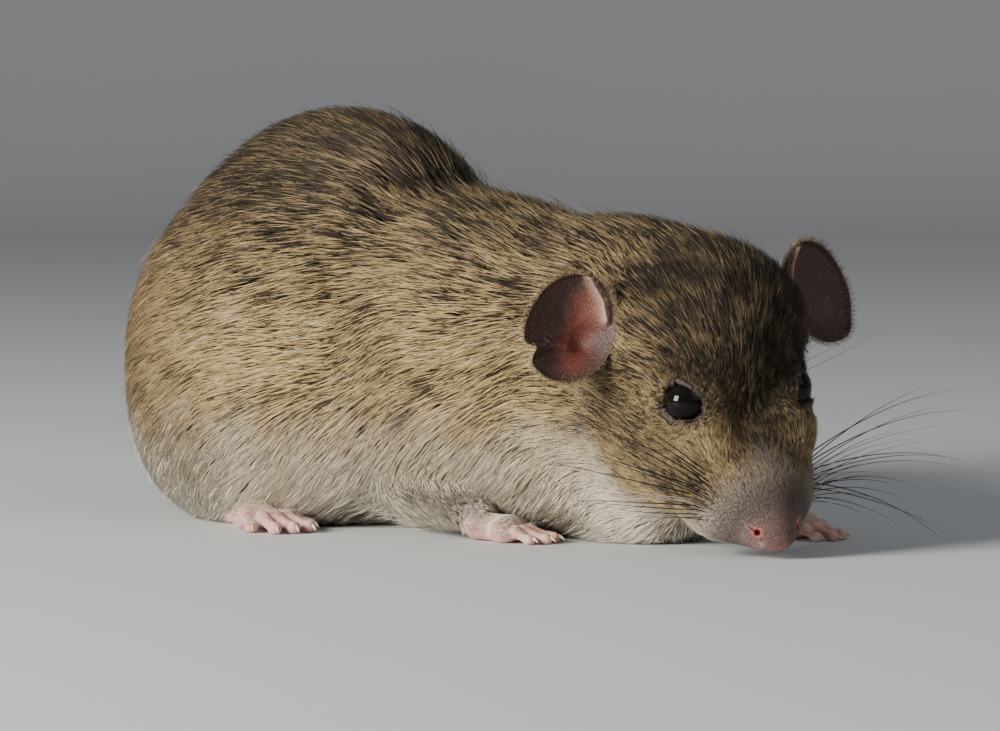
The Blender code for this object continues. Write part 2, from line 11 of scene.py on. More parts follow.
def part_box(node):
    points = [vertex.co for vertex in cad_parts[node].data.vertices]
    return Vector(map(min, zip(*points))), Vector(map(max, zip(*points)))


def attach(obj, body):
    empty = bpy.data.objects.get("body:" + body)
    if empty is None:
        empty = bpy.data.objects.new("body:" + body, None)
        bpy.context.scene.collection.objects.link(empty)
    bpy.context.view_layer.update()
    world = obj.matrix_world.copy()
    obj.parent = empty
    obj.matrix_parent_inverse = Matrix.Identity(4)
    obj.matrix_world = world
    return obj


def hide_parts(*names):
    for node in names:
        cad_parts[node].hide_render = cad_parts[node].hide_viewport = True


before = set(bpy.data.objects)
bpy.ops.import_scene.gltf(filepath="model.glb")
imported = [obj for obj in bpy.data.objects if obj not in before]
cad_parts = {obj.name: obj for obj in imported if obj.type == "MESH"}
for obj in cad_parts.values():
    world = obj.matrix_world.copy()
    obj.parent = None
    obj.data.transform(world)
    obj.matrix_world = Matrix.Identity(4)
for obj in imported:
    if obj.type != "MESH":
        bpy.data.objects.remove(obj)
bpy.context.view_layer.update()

# The hide. One closed skin over the head, neck, trunk and legs, which lies inside the coat by the coat's
# depth. It is spheres over the muscles, fused and drawn on to their blended outline, with the lids, lips
# and nostrils worked into it at a finer grain.
MM = 0.001
RIGHT, LEFT = SIDES = -1, 1
NOSE_TIP = np.array((75.0, -11.5, 2.8))
HEAD_HEADING, HEAD_PITCH, HEAD_ROLL = -17.0, -47.0, 8.0
EYE_CENTRE, EYE_RADIUS = (-21.5, 8.9, 8.6), 3.5
EYE_OUTWARD, EYE_CORNER = (0.42, 0.66, 0.62), (0.76, -0.64, -0.16)


def unit(vectors):
    vectors = np.asarray(vectors, float)
    return vectors / np.linalg.norm(vectors, axis=-1, keepdims=True)


def smooth(low, high, values):
    """0 below low, 1 above high, and an even bend between them."""
    share = np.clip((values - low) / (high - low), 0, 1)
    return share * share * (3 - 2 * share)


heading, pitch, roll = (radians(angle) for angle in (HEAD_HEADING, HEAD_PITCH, HEAD_ROLL))
head_forward = np.array((cos(heading) * cos(pitch), sin(heading) * cos(pitch), sin(pitch)))
head_level = unit(np.cross((0, 0, 1), head_forward))
head_left = head_level * cos(roll) + np.cross(head_forward, head_level) * sin(roll)
HEAD_AXES = np.stack((head_forward, head_left, np.cross(head_forward, head_left)), 1)


def in_head(place):
    """Place of a point given in head axes: forward, left and up from the tip of the nose."""
    return NOSE_TIP + HEAD_AXES @ np.asarray(place, float)


def on_side(place, side):
    return np.array(place, float) * (1, side, 1)


def head_spot(place, side):
    """Place of a point given in head axes for the left side, on the side asked for."""
    return in_head(on_side(place, side))


# The frame's origin is the middle of the rat's box; the numbers here are from the place under its trunk.
eye_low, eye_high = (np.array(corner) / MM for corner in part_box("eye_right"))
SHIFT = (eye_low + eye_high) / 2 - head_spot(EYE_CENTRE, RIGHT)


class Oval:
    """A blob with its centre, three radii and the columns of its axes."""

    def __init__(self, centre, radii, axes=None):
        self.centre, self.radii = np.asarray(centre, float), np.asarray(radii, float)
        self.axes = np.eye(3) if axes is None else axes

    def distance(self, points):
        local = (points - self.centre) @ self.axes
        near = np.sqrt(((local / self.radii) ** 2).sum(1)) + 1e-9
        slope = np.sqrt(((local / self.radii ** 2) ** 2).sum(1)) + 1e-9
        return near * (near - 1) / slope

    def over(self, sphere):
        return self.centre + (sphere * self.radii) @ self.axes.T


class Rod:
    """A rod with round ends, whose radius changes evenly from end to end."""

    def __init__(self, start, end, start_radius, end_radius):
        self.start, self.end = np.asarray(start, float), np.asarray(end, float)
        self.radii = (start_radius, end_radius)

    def distance(self, points):
        along = self.end - self.start
        part = np.clip((points - self.start) @ along / (along @ along), 0, 1)
        away = points - self.start - part[:, None] * along
        return np.sqrt((away ** 2).sum(1)) - self.radii[0] - (self.radii[1] - self.radii[0]) * part

    def over(self, sphere):
        far = (sphere @ (self.end - self.start) > 0)[:, None]
        return np.where(far, self.end + sphere * self.radii[1], self.start + sphere * self.radii[0])


def blended(distances, softness):
    nearest = np.min(distances, axis=0)
    return nearest - softness * np.log(np.exp((nearest - distances) / softness).sum(0))


def group_distance(groups, points):
    """Distance to groups of blobs, each group blended over its own softness."""
    return np.stack([blended(np.stack([blob.distance(points) for blob in blobs]), softness)
                     for blobs, softness in groups])


def nearest_of(blobs, points):
    return np.min([blob.distance(points) for blob in blobs], axis=0)


def joined(form, groups, softness, points):
    """Distance to a form with groups of blobs blended on to it."""
    return blended(np.stack((form, *group_distance(groups, points))), softness)


def cut_back(form, hollow, softness):
    """Distance to a form with a hollow taken out of it."""
    return -blended(np.stack((-form, hollow)), softness)


def pair(centre, radii):
    return [Oval(head_spot(centre, side), radii, HEAD_AXES) for side in SIDES]


def middle(centre, radii):
    return Oval(in_head(centre), radii, HEAD_AXES)


def turned(degrees, axis):
    return np.array(Matrix.Rotation(radians(degrees), 3, axis))


TRUNK = [
    Oval((-22.7, 0, 33.8), (31.3, 25.7, 33.8), turned(9, "Y")),
    Oval((-35.8, 0, 29.2), (25.2, 26.3, 25.3)),
    Oval((-24.9, -15.5, 18.7), (26.1, 16, 20.3)),
    Oval((-24.9, 15.5, 18.7), (26.1, 16, 20.3)),
    Oval((-27.3, -15.8, 10.9), (18.7, 9, 9.1)),
    Oval((-27.3, 15.8, 10.9), (18.7, 9, 9.1)),
    Oval((12.5, 0, 30.4), (36.4, 24.3, 22.8), turned(12, "Y")),
    Oval((39.6, 0, 28.6), (18, 18.5, 20.5)),
    Oval((42.4, -1, 12.6), (13.3, 13, 14.4)),
    Oval((20.2, 0, 16.8), (30.1, 17.8, 17.5)),
    Oval((0.3, 0, 19.4), (40.2, 23.8, 20.1)),
]
FORELEGS = [
    Rod((9.5, -16.4, 9.4), (22.5, -18.2, 3.4), 6.2, 2.9),
    Rod((36, 14, 13), (52.5, 16.3, 3.4), 6.5, 2.9),
]
NECK = [Rod((34.2, 0, 30.2), in_head((-37.5, 0, 1.7)), 18.3, 17.3)]
HEAD = [
    middle((-31.8, 0, 4.0), (14.4, 14.4, 13.6)),
    middle((-33.5, 0, 10.3), (11.3, 14.5, 11.4)),
    *pair((-25, 8, -2.5), (11, 7.0, 8)),
    *pair((-22, 6.5, -5.0), (9.5, 6.5, 6)),
    *pair((-19.9, 7.1, 5.8), (8.9, 5.2, 4.7)),
    middle((-17.7, 0, 1.1), (14.7, 10.1, 7.9)),
    middle((-12.2, 0, -1.0), (9.2, 7.6, 6.0)),
    *pair((-10.5, 5.0, -1.6), (6.1, 5.3, 5.8)),
    middle((-5.6, 0, -0.3), (4.9, 3.7, 3.3)),
    middle((-1.9, 0, 0.2), (3.1, 2.5, 1.7)),
    middle((-16.8, 0, -6.3), (9.7, 7.2, 4.9)),
]
BODY = [(TRUNK, 3.0), (FORELEGS, 2.0), (NECK, 3.0), (HEAD, 1.4)]


def coat_distance(points):
    """Distance to the tips of the coat."""
    return blended(group_distance(BODY, points), 2.5)


def headness_of(local):
    """1 on the head, 0 on the trunk, for places in head axes."""
    return smooth(-46, -36, local[:, 0]) * smooth(-19, -12, local[:, 2])


def coat_depth(points):
    """How far the skin lies under the tips of the coat: deep on the trunk, next to nothing at the nose."""
    local = (points - NOSE_TIP) @ HEAD_AXES
    face = np.interp(local[:, 0], (-44, -32, -24, -17, -11, -5, -2), (2.9, 2.4, 1.5, 1.0, 0.7, 0.3, 0.08))
    trunk = np.interp(points[:, 2], (0, 10, 24), (1.3, 2.6, 3.5))
    return trunk + (face - trunk) * headness_of(local)


def eye_axes(side):
    """Columns: outward, along the opening and across it."""
    outward = unit(on_side(EYE_OUTWARD, side))
    corner = on_side(EYE_CORNER, side)
    along = unit(corner - outward * (outward @ corner))
    return HEAD_AXES @ np.stack((outward, along, np.cross(outward, along)), 1)


# The lids' opening in millimetres: its length, how far it goes up and down, and how the nose's end narrows.
EYE_LENGTH, UPPER_LID, LOWER_LID, LID_PINCH = 7.0, 2.1, 2.65, 0.22
LID_THICKNESS, LID_STEPS = 0.2, 36


def lid_rods(side):
    """Rim of the lids: an almond drawn out to a corner towards the nose, that rests on the eyeball."""
    axes, centre = eye_axes(side), head_spot(EYE_CENTRE, side)
    ring = []
    for step in range(LID_STEPS):
        angle = 2 * pi * step / LID_STEPS
        along = EYE_LENGTH / 2 * (cos(angle) + 0.06 * max(cos(angle), 0) ** 8)
        across = (UPPER_LID if angle < pi else LOWER_LID) * sin(angle)
        across *= 1 - LID_PINCH * max(cos(angle), 0) ** 3
        out = max((EYE_RADIUS + 0.08) ** 2 - along ** 2 - across ** 2, 0.9) ** 0.5
        ring.append(centre + axes @ (out, along, across * side * -1))
    return [Rod(ring[step - 1], ring[step], LID_THICKNESS, LID_THICKNESS) for step in range(LID_STEPS)]


def lid_reach(points, side):
    """Where points lie within the lids: how far out, 1 on the rim, and their place from the eye's middle."""
    local = (points - head_spot(EYE_CENTRE, side)) @ eye_axes(side)
    along = local[:, 1] / (EYE_LENGTH / 2)
    across = local[:, 2] / np.where(local[:, 2] * side < 0, UPPER_LID, LOWER_LID)
    return np.hypot(along, across / (1 - LID_PINCH * np.clip(along, 0, 1) ** 3)), local


def opening_distance(points):
    """Distance to the gaps between the lids, which end a little way inside the eyeballs' fronts."""
    gaps = []
    for side in SIDES:
        reach, local = lid_reach(points, side)
        inside = EYE_RADIUS - 0.3 - np.linalg.norm(local, axis=1)
        gaps.append(np.max([(reach - 1) * 2.3, inside, 0.3 - local[:, 0]], axis=0))
    return np.min(gaps, axis=0)


BELLY_CLEARANCE = 0.35
MOUTH = [(-3.9, 0, -3.3), (-5.2, 2.2, -4.1), (-8.5, 4.3, -5.6), (-13.0, 5.9, -6.6)]
lids = [blob for side in SIDES for blob in lid_rods(side)]
orbits = [Oval(head_spot(EYE_CENTRE, side), radii, eye_axes(side))
          for side in SIDES for radii in ((1.8, 5.4, 4.8), (2.2, 4.4, 3.6))]
EAR_FRONT = (-31.5, 15.0, 11.5)
ear_roots = pair((-34.5, 16.6, 9.0), (4.8, 3.6, 6.5))
nose_lobes = pair((-1.2, 1.9, 0.1), (1.5, 1.6, 1.6)) + pair((-2.5, 3.4, 0.4), (1.5, 1.1, 1.3))
covers = [Oval(head_spot(EYE_CENTRE, side), [EYE_RADIUS + 0.32] * 3) for side in SIDES]
NOSTRIL = [(-0.7, 3.7, 1.6), (-2.4, 2.3, 0.8), (-2.9, 4.5, 1.5)]
grooves, nostrils = [], []
for side in SIDES:
    for start, end in zip(MOUTH, MOUTH[1:]):
        grooves.append(Rod(head_spot(start, side), head_spot(end, side), 0.34, 0.30))
    hole, inside, slit = (head_spot(spot, side) for spot in NOSTRIL)
    nostrils += [Rod(hole, inside, 0.42, 0.3), Rod(hole, slit, 0.14, 0.04)]
grooves.append(Rod(in_head((-0.6, 0, -1.6)), in_head(MOUTH[0]), 0.2, 0.24))


def skin_distance(points):
    """Distance to the bare skin, with its fine forms: orbits and lids added, openings cut in."""
    skin = coat_distance(points) + coat_depth(points)
    skin = joined(skin, [(orbits, 0.5), (ear_roots, 0.5)], 0.6, points)
    skin = joined(skin, [(covers, 0.3)], 0.35, points)
    skin = cut_back(skin, opening_distance(points), 0.12)
    skin = joined(skin, [(nose_lobes, 0.3)], 0.35, points)
    skin = joined(skin, [(lids, 0.1)], 0.22, points)
    skin = cut_back(skin, nearest_of(grooves + nostrils, points), 0.1)
    return cut_back(skin, points[:, 2] - BELLY_CLEARANCE, 0.4)


def slope_of(distance, points, reach=0.02):
    base = distance(points)
    slopes = [(distance(points + shift) - base) / reach for shift in np.eye(3) * reach]
    return base, np.stack(slopes, 1)


def pulled(distance, points, steps=3, stride=0.8):
    """Points moved along a form's slope on to its surface."""
    for _ in range(steps):
        height, slope = slope_of(distance, points)
        slope /= np.maximum((slope ** 2).sum(1, keepdims=True), 0.25)
        points = points - np.clip(height, -stride, stride)[:, None] * slope
    return points


def points_of(mesh):
    """A mesh's points in millimetres, from the place under the trunk."""
    points = np.empty(len(mesh.vertices) * 3)
    mesh.vertices.foreach_get("co", points)
    return points.reshape(-1, 3) / MM - SHIFT


def set_points(mesh, points):
    mesh.vertices.foreach_set("co", ((points + SHIFT) * MM).ravel())
    mesh.update()


def add_share(mesh, name, values):
    """A number for each of a mesh's points, which the materials read."""
    mesh.attributes.new(name, "FLOAT", "POINT").data.foreach_set("value", np.asarray(values, np.float32))


def new_piece(name, mesh):
    piece = bpy.data.objects.new(name, mesh)
    bpy.context.scene.collection.objects.link(piece)
    return piece


def blob_mesh(name, blobs):
    """A sphere stretched over each blob, all in one mesh."""
    shell = bmesh.new()
    for blob in blobs:
        made = bmesh.ops.create_icosphere(shell, subdivisions=3, radius=1.0)
        sphere = np.array([corner.co for corner in made["verts"]])
        for corner, place in zip(made["verts"], (blob.over(sphere) + SHIFT) * MM):
            corner.co = place
    mesh = bpy.data.meshes.new(name)
    shell.to_mesh(mesh)
    shell.free()
    return mesh


def keep_shown(piece):
    """Make the mesh that a piece's modifiers show its own, and clear them."""
    shown = piece.evaluated_get(bpy.context.evaluated_depsgraph_get())
    old, piece.data = piece.data, bpy.data.meshes.new_from_object(shown)
    piece.modifiers.clear()
    bpy.data.meshes.remove(old)


def fused(piece, grain):
    """Remesh a piece's spheres into one closed surface."""
    modifier = piece.modifiers.new("fuse", "REMESH")
    modifier.mode, modifier.voxel_size = "VOXEL", grain * MM
    keep_shown(piece)


def finer(mesh, wanted, cuts):
    """Divide the faces all of whose corners are wanted."""
    shell = bmesh.new()
    shell.from_mesh(mesh)
    shell.verts.ensure_lookup_table()
    edges = {edge for face in shell.faces if all(wanted[corner.index] for corner in face.verts)
             for edge in face.edges}
    bmesh.ops.subdivide_edges(shell, edges=list(edges), cuts=cuts, use_grid_fill=True)
    shell.to_mesh(mesh)
    shell.free()


SKIN_GRAIN = 1.3
skin = new_piece("skin", blob_mesh("skin", [blob for blobs, _ in BODY for blob in blobs]))
for _ in range(2):
    fused(skin, SKIN_GRAIN)
    set_points(skin.data, pulled(skin_distance, points_of(skin.data), 5, 1.2))
local = (points_of(skin.data) - NOSE_TIP) @ HEAD_AXES
finer(skin.data, (local[:, 0] > -34) & (local[:, 2] > -13) & (abs(local[:, 1]) < 19), 2)
set_points(skin.data, pulled(skin_distance, points_of(skin.data), 3, 0.4))
local = (points_of(skin.data) - NOSE_TIP) @ HEAD_AXES
from_eyes = [np.linalg.norm(local - on_side(EYE_CENTRE, side), axis=1) for side in SIDES]
near_eye = np.min([abs(away - 2.5) for away in from_eyes], axis=0)
finer(skin.data, (near_eye < 2.6) | ((local[:, 0] > -9) & (local[:, 2] > -9)), 1)
set_points(skin.data, pulled(skin_distance, points_of(skin.data), 3, 0.25))
for reach in (2.0, 1.3):
    finer(skin.data, nearest_of(nostrils, points_of(skin.data)) < reach, 1)
    set_points(skin.data, pulled(skin_distance, points_of(skin.data), 3, 0.15))
skin.data.shade_smooth()
skin_points = points_of(skin.data)
rims = [smooth(1.12, 0.98, reach) * (local[:, 0] > 0)
        for reach, local in (lid_reach(skin_points, side) for side in SIDES)]
on_lid = 1 - smooth(0.10, 0.42, nearest_of(lids, skin_points))
add_share(skin.data, "lid", np.maximum(on_lid, np.max(rims, axis=0)))
add_share(skin.data, "hole", 1 - smooth(-0.05, 0.16, nearest_of(nostrils, skin_points)))
FLESH = ("head", "muzzle", "jaw", "neck", "chest", "abdomen",
         "foreleg_right", "foreleg_left", "hindleg_right", "hindleg_left")
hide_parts(*FLESH)
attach(skin, "root")


def new_group(name, tree_kind, inputs, outputs):
    """An empty node group, with its sockets named, and its input and output nodes."""
    group = bpy.data.node_groups.new(name, tree_kind)
    for way, sockets in (("INPUT", inputs), ("OUTPUT", outputs)):
        for socket, kind in sockets:
            group.interface.new_socket(socket, in_out=way, socket_type="NodeSocket" + kind)
    return group, group.nodes.new("NodeGroupInput"), group.nodes.new("NodeGroupOutput")


def link(tree, start, end):
    tree.links.new(start, end)


def maths(tree, kind, first, second):
    node = tree.nodes.new("ShaderNodeMath")
    node.operation = kind
    for socket, value in zip(node.inputs, (first, second)):
        if isinstance(value, (int, float)):
            socket.default_value = value
        else:
            link(tree, value, socket)
    return node.outputs[0]


def mixed(tree, share, first, second):
    """A blend of two colours by a share from 0 to 1."""
    node = tree.nodes.new("ShaderNodeMix")
    node.data_type = "RGBA"
    for socket, value in ((node.inputs["Factor"], share), (node.inputs[6], first), (node.inputs[7], second)):
        if isinstance(value, (int, float)):
            socket.default_value = value
        elif isinstance(value, tuple):
            socket.default_value = (*value, 1.0)
        else:
            link(tree, value, socket)
    return node.outputs[2]


def ranged(tree, value, low, high, start=0.0, end=1.0):
    """Map a value from low..high to start..end, smoothly."""
    node = tree.nodes.new("ShaderNodeMapRange")
    node.interpolation_type = "SMOOTHSTEP"
    for name, number in (("From Min", low), ("From Max", high), ("To Min", start), ("To Max", end)):
        node.inputs[name].default_value = number
    link(tree, value, node.inputs["Value"])
    return node.outputs["Result"]


def noise(tree, where, scale, detail=3.0):
    node = tree.nodes.new("ShaderNodeTexNoise")
    node.inputs["Scale"].default_value, node.inputs["Detail"].default_value = scale, detail
    link(tree, where, node.inputs["Vector"])
    return node.outputs["Fac"]


def patch(tree, where, centre, inner, outer, depth=1.0):
    """Its depth within the inner radius of a place on the body, 0 past the outer one, in millimetres."""
    node = tree.nodes.new("ShaderNodeVectorMath")
    node.operation = "DISTANCE"
    link(tree, where, node.inputs[0])
    node.inputs[1].default_value = (np.asarray(centre, float) + SHIFT) * MM
    return ranged(tree, node.outputs["Value"], inner * MM, outer * MM, depth, 0.0)


# Colours of the coat, shared by the skin and every tuft: buff bands, black ticking, cream below.
BUFF, GOLD, TICK = (0.53, 0.395, 0.195), (0.42, 0.27, 0.12), (0.030, 0.022, 0.015)
CREAM, SLATE, MUZZLE_GREY = (0.80, 0.74, 0.60), (0.085, 0.072, 0.058), (0.17, 0.118, 0.11)
NOSE_PINK, LID_GREY = (0.35, 0.16, 0.135), (0.085, 0.062, 0.056)
# Darker patches: place, inner and outer radius, depth. The one on top of the rump is partly the coat's darker back
# and partly painted shade, where the rump top lies in shadow. The last two are on both sides of the head.
DARK_PATCHES_AND_SHADE = [((28, 0, 46), 12, 36, 0.50), ((-54, -8, 42), 10, 32, 0.40)]
for side in SIDES:
    DARK_PATCHES_AND_SHADE += [(head_spot((-20, 10, 1), side), 2, 15, 0.5), (head_spot((-28, 15, 0), side), 6, 20, 0.5)]

markings_and_shade, marks_in, marks_out = new_group(
    "coat_markings_and_shade", "ShaderNodeTree", [("Place", "Vector")],
    [("Pale", "Float"), ("Dark", "Float"), ("Muzzle", "Float"), ("Warm", "Float")])
place = marks_in.outputs["Place"]
split = markings_and_shade.nodes.new("ShaderNodeSeparateXYZ")
link(markings_and_shade, place, split.inputs[0])
ragged = maths(markings_and_shade, "MULTIPLY", maths(markings_and_shade, "SUBTRACT", noise(markings_and_shade, place, 110), 0.5), 0.014)
height = maths(markings_and_shade, "ADD", split.outputs["Z"], ragged)
for side in SIDES:
    cheek = patch(markings_and_shade, place, head_spot((-20, 9, 0), side), 7, 16, 0.022)
    height = maths(markings_and_shade, "ADD", height, cheek)
belly = ranged(markings_and_shade, height, 0.000, 0.024, 1.0, 0.0)
chin = patch(markings_and_shade, place, in_head((-13, 0, -9)), 4, 7.5)
link(markings_and_shade, maths(markings_and_shade, "MAXIMUM", belly, chin), marks_out.inputs["Pale"])
dark = maths(markings_and_shade, "MAXIMUM", patch(markings_and_shade, place, in_head((-32, 2, 18)), 12, 24),
             patch(markings_and_shade, place, in_head((-17, 1, 9)), 4, 11, 0.8))
# Each darker patch deepens Dark; the one on the rump top is partly painted shade.
for darkening in DARK_PATCHES_AND_SHADE:
    dark = maths(markings_and_shade, "MAXIMUM", dark, patch(markings_and_shade, place, *darkening))
ridge = ranged(markings_and_shade, height, 0.027, 0.064)
link(markings_and_shade, maths(markings_and_shade, "MAXIMUM", ridge, dark), marks_out.inputs["Dark"])
muzzle = patch(markings_and_shade, place, in_head((-5, 0, -1)), 6, 13)
for side in SIDES:
    lip = patch(markings_and_shade, place, head_spot((-7.6, 4, -5.0), side), 1.5, 4.2, 0.75)
    muzzle = maths(markings_and_shade, "MULTIPLY", muzzle, maths(markings_and_shade, "SUBTRACT", 1.0, lip))
link(markings_and_shade, muzzle, marks_out.inputs["Muzzle"])
link(markings_and_shade, patch(markings_and_shade, place, (-60, -14, 34), 14, 44, 0.75), marks_out.inputs["Warm"])


def new_material(name, roughness):
    """A material, its node tree and its surface."""
    made = bpy.data.materials.new(name)
    made.use_nodes = True
    surface = made.node_tree.nodes["Principled BSDF"]
    surface.inputs["Roughness"].default_value = roughness
    return made, made.node_tree, surface


def object_place(tree):
    return tree.nodes.new("ShaderNodeTexCoord").outputs["Object"]


def marks_at(tree, place):
    """The coat's pattern at a place, with painted shade on the rump top in Dark, as the outputs Pale, Dark, Muzzle
    and Warm.
    """
    node = tree.nodes.new("ShaderNodeGroup")
    node.node_tree = markings_and_shade
    link(tree, place, node.inputs["Place"])
    return node.outputs


def lit_within(surface, weight, spread, scale):
    """Let light into a surface and out again, the red of it furthest."""
    surface.inputs["Subsurface Weight"].default_value = weight
    surface.inputs["Subsurface Radius"].default_value = spread
    surface.inputs["Subsurface Scale"].default_value = scale


def bumped(tree, surface, height, distance):
    node = tree.nodes.new("ShaderNodeBump")
    node.inputs["Distance"].default_value = distance
    link(tree, height, node.inputs["Height"])
    link(tree, node.outputs["Normal"], surface.inputs["Normal"])


def share_of(tree, name):
    node = tree.nodes.new("ShaderNodeAttribute")
    node.attribute_name = name
    return node.outputs["Fac"]


hide, tree, surface = new_material("hide", 0.55)
place = object_place(tree)
marks = marks_at(tree, place)
colour = mixed(tree, marks["Pale"], (0.085, 0.07, 0.052), (0.48, 0.42, 0.34))
colour = mixed(tree, marks["Muzzle"], colour, MUZZLE_GREY)
nose = patch(tree, place, in_head((-0.4, 0, 0.2)), 2.8, 5.6)
colour = mixed(tree, nose, colour, NOSE_PINK)
for side in SIDES:
    sore = patch(tree, place, head_spot(NOSTRIL[0], side), 0.5, 1.9, 0.75)
    colour = mixed(tree, sore, colour, (0.42, 0.12, 0.10))
    rosy = patch(tree, place, head_spot((0.4, 3.0, 0.2), side), 0.3, 1.1, 0.6)
    colour = mixed(tree, rosy, colour, (0.66, 0.42, 0.38))
grain = noise(tree, place, 2600, 4)
colour = mixed(tree, ranged(tree, grain, 0.35, 0.75, 0.0, 0.14), colour, (0.55, 0.43, 0.38))
for side in SIDES:
    colour = mixed(tree, patch(tree, place, head_spot(EYE_CENTRE, side), 4.3, 5.6), colour, LID_GREY)
    bald = patch(tree, place, head_spot(EAR_FRONT, side), 1.5, 3.5)
    colour = mixed(tree, bald, colour, (0.40, 0.29, 0.26))
colour = mixed(tree, share_of(tree, "lid"), colour, (0.022, 0.015, 0.014))
colour = mixed(tree, share_of(tree, "hole"), colour, (0.20, 0.012, 0.020))
link(tree, colour, surface.inputs["Base Color"])
link(tree, ranged(tree, nose, 0, 1, 0.65, 0.35), surface.inputs["Roughness"])
surface.inputs["Specular IOR Level"].default_value = 0.25
lit_within(surface, 0.12, (1.0, 0.35, 0.2), 0.0015)
bumped(tree, surface, grain, 0.00025)
skin.data.materials.append(hide)

# The eyes. Each is a wet, nearly black ball, as in all brown rats, with a clear bulging front.
def turn_outward(mesh):
    """Turn a closed mesh's faces outward and shade it smooth."""
    shell = bmesh.new()
    shell.from_mesh(mesh)
    bmesh.ops.recalc_face_normals(shell, faces=shell.faces)
    shell.to_mesh(mesh)
    shell.free()
    mesh.shade_smooth()


iris, tree, surface = new_material("eye", 0.06)
place = object_place(tree)
colour = mixed(tree, noise(tree, place, 900), (0.003, 0.0025, 0.0025), (0.008, 0.006, 0.005))
link(tree, colour, surface.inputs["Base Color"])
surface.inputs["IOR"].default_value = 1.36
surface.inputs["Specular IOR Level"].default_value = 0.3
for side, name in ((RIGHT, "eye_right"), (LEFT, "eye_left")):
    mesh = bpy.data.meshes.new(name + "_ball")
    shell = bmesh.new()
    bmesh.ops.create_uvsphere(shell, u_segments=48, v_segments=32, radius=1.0)
    shell.to_mesh(mesh)
    shell.free()
    sphere = np.array([corner.co for corner in mesh.vertices])
    bulge = 1 + 0.03 * smooth(0.5, 0.95, sphere[:, 2:])
    sphere = np.stack((sphere[:, 2], sphere[:, 0], sphere[:, 1]), 1) * bulge
    set_points(mesh, head_spot(EYE_CENTRE, side) + (sphere * EYE_RADIUS) @ eye_axes(side).T)
    turn_outward(mesh)
    ball = new_piece(name + "_ball", mesh)
    ball.data.materials.append(iris)
    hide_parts(name)
    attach(ball, "root")

# The ears. Each is a thin cup of gristle and skin, red inside where the light comes through, that red partly the
# skin's own and partly a painted glow, cut down on the far ear as painted shade;
# dark brown round the rim, with a notch below and a pale fold in front, its paleness partly a painted highlight; a
# dish given its thickness, rooted in the hide.
EAR_CENTRES = {RIGHT: (-37.0, 22.3, 10.1), LEFT: (-36.3, 20.1, 11.9)}
EAR_OUTWARD, EAR_FACING = (-0.62, 0.78, 0.05), (0.57, 0.22, 0.72)
EAR_LENGTH, EAR_WIDTH, EAR_DEPTH, EAR_THICKNESS = 7.0, 8.6, 3.4, 0.45
EAR_RINGS, EAR_SPOKES = 44, 150
NOTCH = {RIGHT: (-52, 0.22), LEFT: (-62, 0.0)}
FOLD = ((0.6, 7.9), (-2.6, 5.6), (-4.3, 3.2))
RIDGE = ((3.6, -5.4), (1.4, -3.4), (-0.6, -2.6))
RED_LINE, CANAL = ((-0.6, 4.6), (-1.4, 0.0), (-1.6, -3.8)), (-3.0, -1.0)


def ear_axes(side):
    outward, facing = unit(on_side(EAR_OUTWARD, side)), on_side(EAR_FACING, side)
    facing = unit(facing - outward * (outward @ facing))
    return HEAD_AXES @ np.stack((outward, np.cross(facing, outward) * side, facing), 1)


def bell(values, width):
    """1 where the values are 0, falling away over a width on both sides."""
    return np.exp(-(values / width) ** 2)


def away_from_line(flat, bends):
    """Distance of points on the ear's plane from a bent line on it."""
    away = []
    for start, end in zip(np.array(bends), np.array(bends)[1:]):
        along = end - start
        part = np.clip((flat - start) @ along / (along @ along), 0, 1)
        away.append(np.linalg.norm(flat - start - part[:, None] * along, axis=1))
    return np.min(away, axis=0)


def ear_surface(ring, angle, side):
    """Place on the cup's inner face: ring 0 at its middle to 1 at its rim, angle round from its tip."""
    degrees = np.degrees(angle)
    notch_angle, notch_depth = NOTCH[side]
    turn = degrees - notch_angle
    notch, lobe, upper = bell(turn, 8), bell(turn + 30, 24), bell(turn - 26, 20)
    radius = EAR_LENGTH * np.cos(angle) ** 2 + EAR_WIDTH * np.sin(angle) ** 2
    radius = radius * (1 - notch_depth * notch + 0.02 * lobe + 0.02 * upper)
    curl = smooth(0.90, 1.0, ring)
    flat = np.stack((ring * radius * np.cos(angle), ring * radius * np.sin(angle)), 1)
    flat = flat * (1 - 0.03 * curl)[:, None]
    depth = EAR_DEPTH * (ring ** 2 - 1)
    depth -= 2.0 * bell(np.linalg.norm(flat - CANAL, axis=1), 2.8)
    depth += 1.5 * bell(away_from_line(flat, FOLD), 0.6) * smooth(1.0, 0.93, ring)
    depth += 4 * notch_depth * bell(away_from_line(flat, RIDGE), 0.75)
    depth += 0.9 * lobe * ring ** 4 - 2.2 * notch_depth * notch * ring ** 4
    depth += 0.35 * curl * bell(degrees - 40, 70)
    depth += 0.07 * np.sin(6 * angle + 1) * ring * (1 - ring) * 4
    local = np.column_stack((flat, depth))
    return head_spot(EAR_CENTRES[side], side) + local @ ear_axes(side).T, flat


